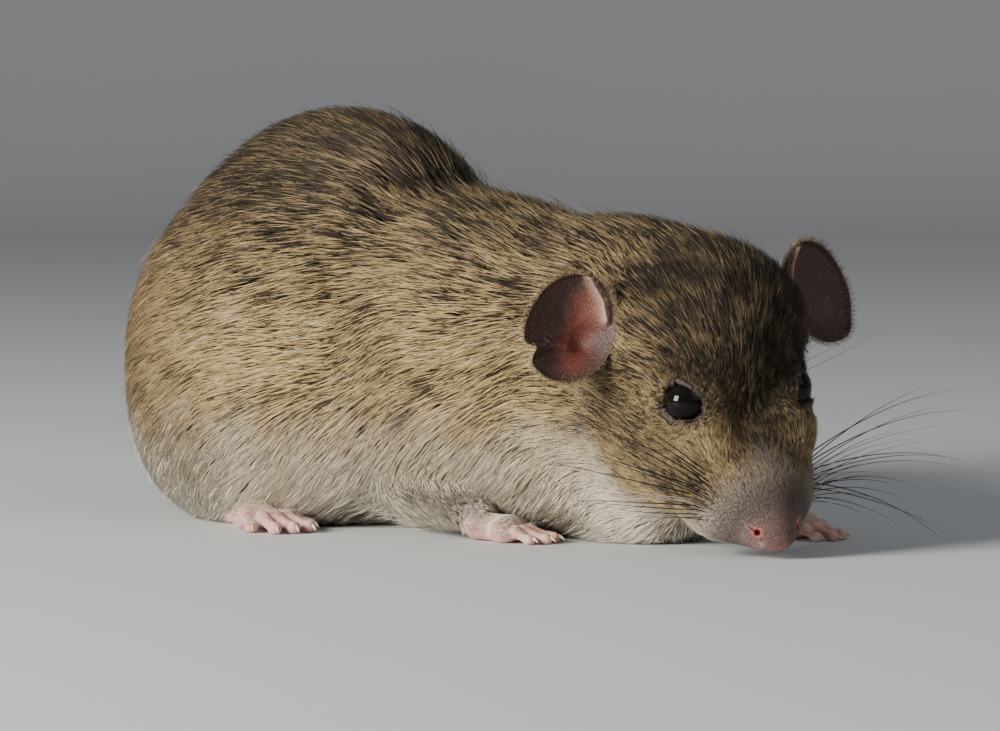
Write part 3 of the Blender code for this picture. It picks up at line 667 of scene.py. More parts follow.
def closed_ear(side):
    """Points and faces of the cup: the inner face, the outer face a skin's thickness behind, and the rim."""
    rings = np.linspace(0.0, 1.0, EAR_RINGS + 1)[1:]
    angles = np.linspace(0, 2 * pi, EAR_SPOKES, endpoint=False) - pi
    ring, angle = (grid.ravel() for grid in np.meshgrid(rings, angles, indexing="ij"))
    inner, flat = ear_surface(ring, angle, side)
    facing = ear_axes(side)[:, 2]
    outer = inner - facing * (EAR_THICKNESS * (1 - 0.55 * ring ** 4))[:, None]
    centre, _ = ear_surface(np.zeros(1), np.zeros(1), side)
    points = np.vstack((inner, outer, centre, centre - facing * EAR_THICKNESS))
    count = len(inner)
    faces = []
    for row in range(EAR_RINGS - 1):
        for spoke in range(EAR_SPOKES):
            first, second = row * EAR_SPOKES + spoke, row * EAR_SPOKES + (spoke + 1) % EAR_SPOKES
            faces.append((first, first + EAR_SPOKES, second + EAR_SPOKES, second))
            first, second = first + count, second + count
            faces.append((second, second + EAR_SPOKES, first + EAR_SPOKES, first))
    last = (EAR_RINGS - 1) * EAR_SPOKES
    for spoke in range(EAR_SPOKES):
        after = (spoke + 1) % EAR_SPOKES
        faces.append((2 * count, spoke, after))
        faces.append((2 * count + 1, count + after, count + spoke))
        faces.append((last + spoke, count + last + spoke, count + last + after, last + after))
    within = np.concatenate((np.ones(count), np.zeros(count), (1, 0)))
    # The red band is partly the skin's own red and partly a painted glow of light coming through the ear; on the
    # far ear it is cut to a fifth, as painted shade, since that ear lies in shadow.
    red = 1 - smooth(0.8, 3.6, away_from_line(flat, RED_LINE))
    red *= 1.0 if side == RIGHT else 0.2
    # The pale fold colour is partly the ear's own pale edge and partly a painted highlight where light catches the
    # fold's ridge.
    fold = bell(away_from_line(flat, FOLD), 0.75)
    red, fold = (np.concatenate((share, 0 * share, (1, 0))) for share in (red, fold))
    rim = np.concatenate((ring, ring, (0, 0)))
    return points, faces, {"inside": within, "red": red, "fold": fold, "rim": rim}


def closed_mesh(name, points, faces):
    """A mesh from points in millimetres and faces, with its faces turned outward."""
    mesh = bpy.data.meshes.new(name)
    mesh.from_pydata(((np.asarray(points) + SHIFT) * MM).tolist(), [], faces)
    turn_outward(mesh)
    return mesh


ear_skin, tree, surface = new_material("ear_skin", 0.45)
place = object_place(tree)
mottle = noise(tree, place, 1100, 4)
brown = mixed(tree, mottle, (0.040, 0.018, 0.014), (0.075, 0.034, 0.027))
# Red of the inner skin, partly its own colour and partly a painted glow of light through it.
warm = mixed(tree, mottle, (0.145, 0.040, 0.028), (0.23, 0.070, 0.046))
within = mixed(tree, share_of(tree, "red"), brown, warm)
# Pale fold: partly own colour, partly a painted highlight on its ridge.
within = mixed(tree, share_of(tree, "fold"), within, (0.42, 0.255, 0.22))
within = mixed(tree, ranged(tree, share_of(tree, "rim"), 0.94, 1.0), within, (0.07, 0.045, 0.036))
behind = mixed(tree, mottle, (0.055, 0.038, 0.032), (0.11, 0.075, 0.062))
link(tree, mixed(tree, share_of(tree, "inside"), behind, within), surface.inputs["Base Color"])
lit_within(surface, 0.08, (1.0, 0.25, 0.15), 0.0007)
bumped(tree, surface, noise(tree, place, 2400, 5), 0.0002)
ear_cups = {}
for side, name in ((RIGHT, "ear_right"), (LEFT, "ear_left")):
    points, faces, shares = closed_ear(side)
    ear = new_piece(name + "_cup", closed_mesh(name + "_cup", points, faces))
    for share, values in shares.items():
        add_share(ear.data, share, values)
    ear.data.materials.append(ear_skin)
    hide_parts(name)
    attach(ear, "root")
    ear_cups[side] = ear.data

# The feet. Bare pink hands and soles flat on the floor, the hind foot long, with thin toes, raised
# knuckles and a short pale claw on each toe; blobs fused as the hide is.
foot_skin, tree, surface = new_material("foot_skin", 0.5)
place = object_place(tree)
blotch = noise(tree, place, 500)
colour = mixed(tree, ranged(tree, blotch, 0.35, 0.7), (0.66, 0.36, 0.30), (0.74, 0.50, 0.43))
link(tree, colour, surface.inputs["Base Color"])
lit_within(surface, 0.3, (1.0, 0.3, 0.2), 0.001)
bumped(tree, surface, noise(tree, place, 2400, 4), 0.0002)
claw_horn, tree, surface = new_material("claw_horn", 0.35)
place = object_place(tree)
colour = mixed(tree, noise(tree, place, 1500), (0.62, 0.50, 0.40), (0.75, 0.66, 0.55))
link(tree, colour, surface.inputs["Base Color"])

FOOT_GRAIN = 0.3
# Each toe: where across the foot it starts, how far it reaches and how thick it is.
HIND_TOES = [(-1.05, 0.72, 0.95), (-0.55, 0.97, 1.05), (0.0, 1.0, 1.05), (0.55, 0.94, 1.05), (1.15, 0.55, 0.95)]
FORE_TOES = [(-1.0, 0.8, 0.8), (-0.35, 1.0, 0.85), (0.35, 0.98, 0.85), (1.0, 0.74, 0.8)]
HIND_PALM = {"share": 0.66, "height": 1.8, "heel": 2.5, "radius": 1.9, "spread": 2.9, "rise": 2.8}
FORE_PALM = {"share": 0.42, "height": 1.7, "heel": 2.3, "radius": 1.7, "spread": 2.1, "rise": 2.5}
FEET = [
    ("hindfoot_right", (-35.5, -20.5), (-7.0, -29.5), HIND_TOES, HIND_PALM, RIGHT),
    ("hindfoot_left", (-35.5, 20.5), (-7.0, 29.5), HIND_TOES, HIND_PALM, LEFT),
    ("forefoot_right", (22.0, -18.5), (34.0, -15.0), FORE_TOES, FORE_PALM, RIGHT),
    ("forefoot_left", (53.0, 16.5), (65.5, 17.5), FORE_TOES, FORE_PALM, LEFT),
]


def at_height(place, height):
    return np.array((place[0], place[1], height), float)


def foot_rods(heel, tip, toes, palm, side):
    """The sole's and toes' rods, and where each claw starts and ends."""
    heel, tip = np.array(heel), np.array(tip)
    along, length = unit(tip - heel), np.linalg.norm(tip - heel)
    across = np.array((-along[1], along[0])) * side
    centre = heel + along * length * palm["share"]
    edges = [at_height(centre + across * palm["spread"] * way, palm["height"]) for way in (-1, 1)]
    sole = [Rod(at_height(heel, palm["rise"]), at_height(centre, palm["height"]), palm["heel"], palm["radius"]),
            Rod(*edges, palm["radius"], palm["radius"])]
    digits, claws = [], []
    for spread, reach, thickness in toes:
        root = centre + across * palm["spread"] * spread
        heading = unit(along + across * spread * 0.28)
        end = root + heading * length * (1 - palm["share"]) * reach
        knuckle = root + (end - root) * 0.45
        raised, pad = at_height(knuckle, thickness + 1.0), at_height(end, thickness * 0.85)
        digits += [
            Rod(at_height(root, palm["height"]), raised, thickness * 1.25, thickness * 0.95),
            Rod(raised, at_height(end, thickness * 0.8), thickness * 0.9, thickness * 0.75),
            Rod(pad, pad + (0.01, 0, 0), thickness * 0.95, thickness * 0.95),
        ]
        claws.append((at_height(end, thickness * 1.1), at_height(end + heading * 1.9, 0.3), thickness * 0.5))
    return sole, digits, claws


def claw_mesh(name, claws, rings=6, sides=8):
    """Curved cones with a closed base, one for each toe."""
    points, faces = [], []
    for root, end, radius in claws:
        start, heading = len(points), end - root
        sideways = unit(np.cross(heading, (0, 0, 1)))
        upward = unit(np.cross(sideways, heading))
        for ring in range(rings):
            share = ring / rings
            centre = root + heading * share + upward * 0.35 * sin(pi * share)
            for step in range(sides):
                turn = 2 * pi * step / sides
                out = sideways * cos(turn) * 0.7 + upward * sin(turn)
                points.append(centre + radius * (1 - share) ** 0.7 * out)
        points += [end, root]
        for ring in range(rings - 1):
            for step in range(sides):
                low, after = start + ring * sides + step, start + ring * sides + (step + 1) % sides
                faces.append((low, after, after + sides, low + sides))
        tip, base = start + rings * sides, start + rings * sides + 1
        for step in range(sides):
            after, last = (step + 1) % sides, tip - sides
            faces.append((last + step, last + after, tip))
            faces.append((start + after, start + step, base))
    return closed_mesh(name, points, faces)


for name, heel, tip, toes, palm, side in FEET:
    sole, digits, claws = foot_rods(heel, tip, toes, palm, side)

    def foot_distance(points, sole=sole, digits=digits):
        foot = blended(group_distance([(sole, 0.8), (digits, 0.3)], points), 0.4)
        return cut_back(foot, points[:, 2], 0.1)

    foot = new_piece(name + "_skin", blob_mesh(name + "_skin", sole + digits))
    for _ in range(2):
        fused(foot, FOOT_GRAIN)
        set_points(foot.data, pulled(foot_distance, points_of(foot.data), 4, 0.3))
    foot.data.shade_smooth()
    foot.data.materials.append(foot_skin)
    nails = new_piece(name + "_claws", claw_mesh(name + "_claws", claws))
    nails.data.materials.append(claw_horn)
    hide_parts(name)
    for piece in (foot, nails):
        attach(piece, "root")

# The tail. A long round taper of pinkish skin in fine rings of scales, laid on the floor round the far
# flank; a tube of many narrow rings along one smooth curve.
TAIL = [((-47, 3, 13), 5.0), ((-57, 15, 6.5), 3.9), ((-58, 28, 3.4), 3.3), ((-48, 42, 2.9), 2.9),
        ((-25, 52, 2.5), 2.5), ((0, 53, 2.1), 2.1), ((22, 47, 1.6), 1.6), ((34, 38, 0.8), 0.8)]
TAIL_RINGS, TAIL_SIDES = 420, 22


def tail_path(steps):
    """Smooth run through the tail's bends: places, radii."""
    places, radii = (np.array([bend[item] for bend in TAIL], float) for item in (0, 1))
    part = np.linspace(0, len(TAIL) - 1, steps)
    index = np.minimum(part.astype(int), len(TAIL) - 2)
    share = (part - index)[:, None]
    padded = np.vstack((2 * places[0] - places[1], places, 2 * places[-1] - places[-2]))
    before, start, end, after = (padded[index + shift] for shift in range(4))
    run = 0.5 * (2 * start + (end - before) * share + (2 * before - 5 * start + 4 * end - after) * share ** 2
                 + (3 * start - before - 3 * end + after) * share ** 3)
    return run, np.interp(part, range(len(TAIL)), radii)


round_sweep, start, end = new_group("round_sweep", "GeometryNodeTree", [
    ("Lines", "Geometry"), ("Sides", "Int"), ("Groove", "Float"), ("Finish", "Material")], [("Tubes", "Geometry")])
lines, circle, thick, rank, sweep, real, finished = (round_sweep.nodes.new("GeometryNode" + kind) for kind in (
    "MeshToCurve", "CurvePrimitiveCircle", "InputNamedAttribute", "InputIndex", "CurveToMesh",
    "RealizeInstances", "SetMaterial"))
thick.data_type, thick.inputs["Name"].default_value = "FLOAT", "thick"
circle.inputs["Radius"].default_value = 1.0
sweep.inputs["Fill Caps"].default_value = True
every_other = maths(round_sweep, "MODULO", rank.outputs["Index"], 2.0)
grooved = maths(round_sweep, "MULTIPLY", every_other, start.outputs["Groove"])
inset = maths(round_sweep, "SUBTRACT", 1.0, grooved)
for output, socket in (
        (start.outputs["Lines"], lines.inputs["Mesh"]),
        (start.outputs["Sides"], circle.inputs["Resolution"]),
        (lines.outputs["Curve"], sweep.inputs["Curve"]),
        (circle.outputs["Curve"], sweep.inputs["Profile Curve"]),
        (maths(round_sweep, "MULTIPLY", thick.outputs["Attribute"], inset), sweep.inputs["Scale"]),
        (sweep.outputs["Mesh"], real.inputs["Geometry"]),
        (real.outputs["Geometry"], finished.inputs["Geometry"]),
        (start.outputs["Finish"], finished.inputs["Material"]),
        (finished.outputs["Geometry"], end.inputs["Tubes"])):
    link(round_sweep, output, socket)


def swept(name, lines, radii, sides, groove, finish, shares=()):
    """A piece made of round closed tubes, one along each line of points, ringed with grooves."""
    mesh = bpy.data.meshes.new(name)
    counts = np.cumsum([0] + [len(line) for line in lines])
    edges = [(step, step + 1) for low, high in zip(counts, counts[1:]) for step in range(low, high - 1)]
    mesh.from_pydata(((np.concatenate(lines) + SHIFT) * MM).tolist(), edges, [])
    add_share(mesh, "thick", np.concatenate(radii) * MM)
    for share, values in dict(shares).items():
        add_share(mesh, share, values)
    piece = new_piece(name, mesh)
    modifier = piece.modifiers.new("sweep", "NODES")
    modifier.node_group = round_sweep
    wanted = {"Sides": sides, "Groove": groove, "Finish": finish}
    for socket in round_sweep.interface.items_tree:
        if socket.name in wanted:
            modifier[socket.identifier] = wanted[socket.name]
    keep_shown(piece)
    points = points_of(piece.data)
    points[:, 2] = np.maximum(points[:, 2], 0.02)
    set_points(piece.data, points)
    turn_outward(piece.data)
    return piece


tail_hide, tree, surface = new_material("tail_hide", 0.55)
place = object_place(tree)
colour = mixed(tree, ranged(tree, noise(tree, place, 300), 0.3, 0.7), (0.30, 0.19, 0.165), (0.46, 0.30, 0.26))
link(tree, colour, surface.inputs["Base Color"])
bumped(tree, surface, noise(tree, place, 2500), 0.0002)
run, radii = tail_path(TAIL_RINGS)
run[:, 2] = np.maximum(run[:, 2], radii * 0.97)
tail = swept("tail_skin", [run], [radii], TAIL_SIDES, 0.035, tail_hide)
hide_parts("tail_1", "tail_2", "tail_3", "tail_4")
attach(tail, "root")

# The coat. Thin tapered tufts rooted in the hide, overlapping, that lie back from the nose to the rump and
# droop down the flanks; long on the trunk, a few millimetres on the head, shortest on the muzzle.
rng = np.random.default_rng(7)
AXIS = [(-62, 0, 22), (-15, 0, 36), (32, 0, 32), in_head((-34, 0, 2)), in_head((0, 0, 0))]
TUFTS, CLUMPS, FOOT_TUFTS, EAR_TUFTS = 225000, 16000, 3000, 5200
# Each tuft bends at a share of its length; what is left of it reaches on from there to its tip.
HAIR_BEND, HAIR_REST, ROOT_DEPTH = 0.42, 0.58, 0.3
STRAY_SHARE, PROUD, STRAY_PROUD = 0.03, 0.5, 1.5
BAKE_PATCH = 0.003


def axis_near(points):
    """For each point: how far along the body's middle line it is, that line's heading, and its foot there."""
    best = np.full(len(points), np.inf)
    far = np.zeros(len(points))
    foot = np.zeros_like(points)
    weight, heading = np.zeros((len(points), 1)), np.zeros_like(points)
    run = 0.0
    for start, end in zip(np.array(AXIS), np.array(AXIS)[1:]):
        along = end - start
        length = np.linalg.norm(along)
        part = np.clip((points - start) @ along / length ** 2, 0, 1)
        place = start + part[:, None] * along
        distance = np.linalg.norm(points - place, axis=1)
        nearness = np.exp(-distance / 3.0)[:, None]
        heading += nearness * along / length
        weight += nearness
        closer = distance < best
        best[closer], far[closer], foot[closer] = distance[closer], (run + part * length)[closer], place[closer]
        run += length
    return far, unit(heading / np.maximum(weight, 1e-30)), foot


def wavy(points, scale, seed):
    """A slow wander from -1 to 1 over the body."""
    turns = np.random.default_rng(seed).normal(size=(5, 3)) / scale
    starts = np.random.default_rng(seed + 1).uniform(0, 2 * pi, 5)
    return np.sin(points @ turns.T + starts).mean(1) * 1.6


def lie_of_coat(points, normals):
    """Which way the hair lies: back along the body, down on the flanks and rump, never straight out."""
    _, heading, _ = axis_near(points)
    headness = headness_of((points - NOSE_TIP) @ HEAD_AXES)[:, None]
    sideness = (1 - abs(normals[:, 2:])) * (1 - headness)
    rump = smooth(-30, -58, points[:, :1])
    low = smooth(26, 10, points[:, 2:])
    lie = -heading + np.array((0, 0, -1.0)) * ((0.5 + 1.4 * low) * sideness + 0.9 * rump)
    for leg in FORELEGS:
        near = smooth(2.5, -2.0, leg.distance(points))[:, None] * smooth(18, 9, points[:, 2:])
        lie = lie * (1 - near) + unit(leg.end - leg.start) * near
    for side in SIDES:
        from_eye = points - head_spot(EYE_CENTRE, side)
        near = np.exp(-(np.linalg.norm(from_eye, axis=1, keepdims=True) / 7.5) ** 4)
        towards = np.minimum((lie * unit(from_eye)).sum(1, keepdims=True), 0)
        lie += unit(from_eye) * near * (0.5 - towards)
    lie += np.cross(normals, lie) * (0.20 * wavy(points, 9, 3)[:, None] + 0.10 * wavy(points, 3, 5)[:, None])
    lie -= normals * (lie * normals).sum(1, keepdims=True)
    return unit(lie + 1e-6)


def roots_on(mesh, count, density):
    """Random places on a mesh, closer together where the density is higher."""
    mesh.calc_loop_triangles()
    corners = np.empty(len(mesh.loop_triangles) * 3, np.int32)
    mesh.loop_triangles.foreach_get("vertices", corners)
    triangles = points_of(mesh)[corners.reshape(-1, 3)]
    edge_a, edge_b = triangles[:, 1] - triangles[:, 0], triangles[:, 2] - triangles[:, 0]
    normals = np.cross(edge_a, edge_b)
    area = np.linalg.norm(normals, axis=1)
    chance = area * density(triangles.mean(1), normals / np.maximum(area, 1e-12)[:, None])
    chosen = rng.choice(len(triangles), count, p=chance / chance.sum())
    first, second = rng.random((2, count, 1))
    flip = first + second > 1
    first, second = np.where(flip, 1 - first, first), np.where(flip, 1 - second, second)
    places = triangles[chosen, 0] + first * edge_a[chosen] + second * edge_b[chosen]
    return places, normals[chosen] / area[chosen][:, None]


def raised(lies, normals, angles):
    """Ways that lie along the coat, lifted off it by an angle."""
    return lies * np.cos(angles) + normals * np.sin(angles)


def bent_hairs(roots, lengths, first, second):
    """Where hairs bend and end, by their way up to the bend and their way after it."""
    bends = roots + lengths * HAIR_BEND * first
    return bends, bends + lengths * HAIR_REST * second


def tuft_mesh(name, roots, bends, tips, across, normals, widths, chances, patches):
    """Closed tapered tufts: a point at the root, a three-sided ring at the bend, and a point at the tip."""
    count = len(roots)
    points = np.empty((count, 5, 3))
    half = widths[:, None] / 2
    points[:, 0], points[:, 4] = roots - normals * ROOT_DEPTH, tips
    points[:, 1], points[:, 2] = bends - across * half, bends + across * half
    points[:, 3] = bends + normals * half * 0.9
    points[:, :, 2] = np.maximum(points[:, :, 2], 0.03)
    pattern = np.array([(0, 2, 1), (0, 3, 2), (0, 1, 3), (1, 2, 4), (2, 3, 4), (3, 1, 4)])
    faces = (pattern[None] + 5 * np.arange(count)[:, None, None]).reshape(-1, 3)
    mesh = bpy.data.meshes.new(name)
    mesh.vertices.add(count * 5)
    mesh.vertices.foreach_set("co", ((points.reshape(-1, 3) + SHIFT) * MM).astype(np.float32).ravel())
    mesh.loops.add(len(faces) * 3)
    mesh.loops.foreach_set("vertex_index", faces.astype(np.int32).ravel())
    mesh.polygons.add(len(faces))
    mesh.polygons.foreach_set("loop_start", np.arange(0, len(faces) * 3, 3, dtype=np.int32))
    mesh.polygons.foreach_set("use_smooth", np.ones(len(faces), bool))
    along = np.tile((0, HAIR_BEND, HAIR_BEND, HAIR_BEND, 1.0), count)
    add_share(mesh, "along", along)
    add_share(mesh, "chance", np.repeat(chances, 5))
    sides = np.tile((0.0, -0.5, 0.5, 0.0, 0.0), count)
    corners = np.repeat(patches, 5, axis=0) + BAKE_PATCH * np.stack((sides, along - 0.5), 1)
    corners = corners[faces.ravel()].astype(np.float32)
    mesh.uv_layers.new(name="OFBake").data.foreach_set("uv", corners.ravel())
    mesh.update(calc_edges=True)
    return mesh


def tuft_piece(name, *hairs):
    """A piece of the coat, made of tufts in the coat's colours."""
    piece = new_piece(name, tuft_mesh(name, *hairs))
    piece.data.materials.append(fur)
    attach(piece, "root")


fur, tree, surface = new_material("fur", 0.5)
place = object_place(tree)
marks = marks_at(tree, place)
along, chance = share_of(tree, "along"), share_of(tree, "chance")
band = tree.nodes.new("ShaderNodeValToRGB")
while len(band.color_ramp.elements) < 5:
    band.color_ramp.elements.new(0.5)
bands = ((0.0, SLATE), (0.34, (0.06, 0.05, 0.04)), (0.50, BUFF), (0.84, BUFF), (1.0, (0.12, 0.09, 0.06)))
for element, (position, shade) in zip(band.color_ramp.elements, bands):
    element.position, element.color = position, (*shade, 1)
link(tree, along, band.inputs["Fac"])
stretch = tree.nodes.new("ShaderNodeVectorMath")
stretch.operation, stretch.inputs[1].default_value = "MULTIPLY", (0.42, 1.2, 1.2)
link(tree, place, stretch.inputs[0])
streaks = noise(tree, stretch.outputs[0], 190, 3)
buff = mixed(tree, marks["Warm"], band.outputs["Color"], GOLD)
buff = mixed(tree, maths(tree, "MULTIPLY", marks["Dark"], 0.8), buff, (0.11, 0.078, 0.040))
ticked = maths(tree, "ADD", chance, maths(tree, "MULTIPLY", maths(tree, "SUBTRACT", streaks, 0.5), 0.85))
ticked = maths(tree, "SUBTRACT", ticked, maths(tree, "MULTIPLY", marks["Dark"], 0.40))
coat = mixed(tree, ranged(tree, ticked, 0.16, 0.38, 1.0, 0.0), buff, TICK)
coat = mixed(tree, ranged(tree, ticked, 0.70, 0.92, 0.0, 0.5), coat, (0.66, 0.59, 0.44))
cream = mixed(tree, ranged(tree, along, 0.0, 0.40), (0.42, 0.37, 0.30), CREAM)
coat = mixed(tree, marks["Pale"], coat, cream)
grey = mixed(tree, ranged(tree, chance, 0.3, 0.6), (0.09, 0.064, 0.060), (0.145, 0.105, 0.098))
coat = mixed(tree, maths(tree, "MULTIPLY", marks["Muzzle"], 0.9), coat, grey)
link(tree, coat, surface.inputs["Base Color"])
surface.inputs["Specular IOR Level"].default_value = 0.3


def length_at(points):
    """Length of the hair in millimetres, by place."""
    local = (points - NOSE_TIP) @ HEAD_AXES
    face = np.interp(local[:, 0], (-42, -34, -26, -18, -12, -6, -3), (7.5, 5.6, 4.2, 3.0, 2.1, 1.2, 0.7))
    trunk = np.interp(points[:, 2], (0, 12, 40, 66), (6.0, 8.0, 9.0, 9.5))
    length = trunk + (face - trunk) * headness_of(local)
    for leg in FORELEGS:
        length *= 0.28 + 0.72 * smooth(2, 14, np.linalg.norm(points - leg.end, axis=1))
    for side in SIDES:
        from_eye = np.linalg.norm(local - on_side(EYE_CENTRE, side), axis=1)
        length *= 0.3 + 0.7 * smooth(3.6, 9.0, from_eye)
    return length


def density_at(points, normals):
    """How thick the tufts grow: thickest on the face, none on the eyes, nostrils and nose pad."""
    local = (points - NOSE_TIP) @ HEAD_AXES
    thick = np.minimum((9.0 / length_at(points)) ** 1.25, 7.0) * (0.6 + 0.4 * headness_of(local))
    thick *= 1 - 0.7 * smooth(0.5, 0.9, -normals[:, 2]) * smooth(8, 3, points[:, 2])
    for side in SIDES:
        from_eye = local - on_side(EYE_CENTRE, side)
        outside = from_eye @ (HEAD_AXES.T @ eye_axes(side)[:, 0]) > 0
        within = (np.linalg.norm(from_eye, axis=1) < EYE_RADIUS + 0.35) & outside
        thick *= smooth(0.05, 0.25, nearest_of(lid_rods(side), points)) * ~within
        thick *= 1 - 0.75 * bell(np.linalg.norm(local - on_side(EAR_FRONT, side), axis=1), 2.6)
    from_nose = np.linalg.norm(local - (-0.4, 0, -0.4), axis=1)
    return thick * smooth(1.4, 2.6, from_nose) * smooth(0.2, 0.7, nearest_of(nostrils, points))


roots, normals = roots_on(skin.data, TUFTS, density_at)
_, slopes = slope_of(skin_distance, roots, 0.4)
normals = unit(unit(slopes) + normals)
order = np.argsort(axis_near(roots)[0])
roots, normals = roots[order], normals[order]
far, heading, feet = axis_near(roots)
lies = lie_of_coat(roots, normals)
lies = unit(lies + np.cross(normals, lies) * rng.normal(0, 0.12, (len(roots), 1)))
lengths = length_at(roots) * rng.uniform(0.7, 1.15, len(roots))
lifts = coat_depth(roots) * rng.uniform(0.7, 1.4, len(roots)) / lengths / 0.72
lifts = np.arcsin(np.clip(lifts, 0.05, 0.85))
strays = rng.random(len(roots)) < STRAY_SHARE
lifts[strays] *= 1.6
lengths[strays] *= 1.15
widths = np.clip(0.028 * lengths, 0.05, 0.25) * rng.uniform(0.7, 1.25, len(roots))
widths[strays] *= 0.5
lifts = lifts[:, None]
bends, tips = bent_hairs(roots, lengths[:, None], raised(lies, normals, lifts),
                         raised(lies, normals, lifts * 0.35))
# Neighbouring hairs lean together at their tips, in locks, and take much the same shade.
centres = rng.choice(len(roots), CLUMPS, replace=False)
tree_of_centres = KDTree(CLUMPS)
for index, root in enumerate(roots[centres]):
    tree_of_centres.insert(root, index)
tree_of_centres.balance()
lock = centres[np.array([tree_of_centres.find(root)[1] for root in roots])]
lean = (roots[lock] - roots) * rng.uniform(0.1, 0.65, (len(roots), 1))
lean -= normals * (lean * normals).sum(1, keepdims=True)
lean *= ~strays[:, None]
bends, tips = bends + lean * 0.35, tips + lean
# No hair stands far out of the coat's outline, which the model's solids give.
proud, slopes = slope_of(coat_distance, tips)
tips -= np.maximum(proud - np.where(strays, STRAY_PROUD, PROUD), 0)[:, None] * unit(slopes)
shades = rng.random(len(roots))
chances = 0.6 * rng.random(len(roots)) + 0.4 * shades[lock]
across = unit(np.cross(normals, tips - roots))
sideways = unit(np.cross((0, 0, 1.0), heading))
out = roots - feet
angle = np.arctan2((out * sideways).sum(1), (out * np.cross(heading, sideways)).sum(1))
belts = ("rump", "hips", "loin", "ribs", "shoulders", "nape", "cheeks", "face")
for name, part in zip(belts, np.array_split(np.arange(len(roots)), len(belts))):
    span = (far[part] - far[part].min()) / max(np.ptp(far[part]), 1e-6)
    patches = np.stack((0.01 + 0.98 * (angle[part] / (2 * pi) + 0.5), 0.01 + 0.98 * span), 1)
    tuft_piece("coat_" + name, roots[part], bends[part], tips[part], across[part], normals[part],
               widths[part], chances[part], patches)
# Short hair on the back of each foot, as far as the toes' roots.
for name, heel, tip, _, palm, _ in FEET:
    mesh = bpy.data.objects[name + "_skin"].data
    heading = unit(np.subtract(tip, heel))
    furred = np.linalg.norm(np.subtract(tip, heel)) * palm["share"] + (4.5 if heel[0] < 0 else 1.5)

    def density_on_foot(points, normals, heel=heel, heading=heading, furred=furred):
        along = (points[:, :2] - heel) @ heading
        return (1 - smooth(furred - 2, furred + 2, along)) * (normals[:, 2] > -0.2)

    roots, normals = roots_on(mesh, FOOT_TUFTS, density_on_foot)
    lies = np.array((*heading, -0.25)) + rng.normal(0, 0.05, (len(roots), 3))
    lies = unit(lies - normals * (lies * normals).sum(1, keepdims=True))
    lengths = rng.uniform(1.5, 3.0, (len(roots), 1)) * (1 if heel[0] < 0 else 0.75)
    bends, tips = bent_hairs(roots, lengths, lies + normals * 0.20, lies)
    patches = 0.02 + 0.96 * np.clip((roots[:, :2] - heel) / 40 + 0.5, 0, 1)
    tuft_piece("fur_" + name, roots, bends, tips, unit(np.cross(normals, lies)), normals,
               rng.uniform(0.035, 0.06, len(roots)), rng.uniform(0.4, 1.0, len(roots)), patches)
# Short down on both faces of each ear, thickest at the rim and in front.
for side, name in ((RIGHT, "down_ear_right"), (LEFT, "down_ear_left")):
    mesh = ear_cups[side]
    centre, axes = head_spot(EAR_CENTRES[side], side), ear_axes(side)

    def density_on_ear(points, normals):
        local = (points - centre) @ axes
        ring = np.hypot(local[:, 0] / EAR_LENGTH, local[:, 1] / EAR_WIDTH)
        front = smooth(0.5, -0.6, local[:, 0] / EAR_LENGTH) * smooth(0.2, 0.8, local[:, 1] / EAR_WIDTH)
        back = normals @ axes[:, 2] < 0
        return 0.10 + smooth(0.8, 1.0, ring) + 1.2 * front + 0.6 * back

    roots, normals = roots_on(mesh, EAR_TUFTS, density_on_ear)
    lies = unit((roots - centre) + axes[:, 0] * 3 + rng.normal(0, 0.8, (len(roots), 3)))
    lies = unit(lies - 0.8 * normals * (lies * normals).sum(1, keepdims=True))
    lengths = rng.uniform(0.7, 1.5, (len(roots), 1))
    bends, tips = bent_hairs(roots, lengths, lies + normals * 0.4, lies + normals * 0.1)
    local = ((roots - centre) @ axes)[:, :2] / (EAR_LENGTH, EAR_WIDTH)
    patches = 0.5 + 0.45 * np.clip(local, -1, 1)
    tuft_piece(name, roots, bends, tips, unit(np.cross(normals, lies)), normals,
               np.full(len(roots), 0.045), rng.uniform(0.3, 1.0, len(roots)), patches)

# The whiskers. Stiff tapering hairs, black and a few white, in rows on each pad of the muzzle and a few over
# the eyes; swept back along the near cheek and thrown out wide on the far side.
whisker_hair, tree, surface = new_material("whisker_hair", 0.35)
colour = mixed(tree, share_of(tree, "chance"), (0.012, 0.010, 0.009), (0.50, 0.46, 0.39))
link(tree, colour, surface.inputs["Base Color"])
WHISKER_STEPS, WHISKER_SIDES = 18, 5


def whisker_line(root, heading, bend, length):
    """Points along one hair, bent evenly from its first heading to its second."""
    shares = np.linspace(0, 1, WHISKER_STEPS)[:, None]
    ways = unit(unit(heading) * (1 - shares) + unit(bend) * shares)
    steps = np.vstack((np.zeros(3), ways[:-1])) * length / (WHISKER_STEPS - 1)
    return np.array(root, float) + np.cumsum(steps, axis=0)


def skin_spot(place, side):
    """The place on the skin nearest to one given in head axes."""
    return pulled(skin_distance, head_spot(place, side)[None], 12, 1.5)[0]


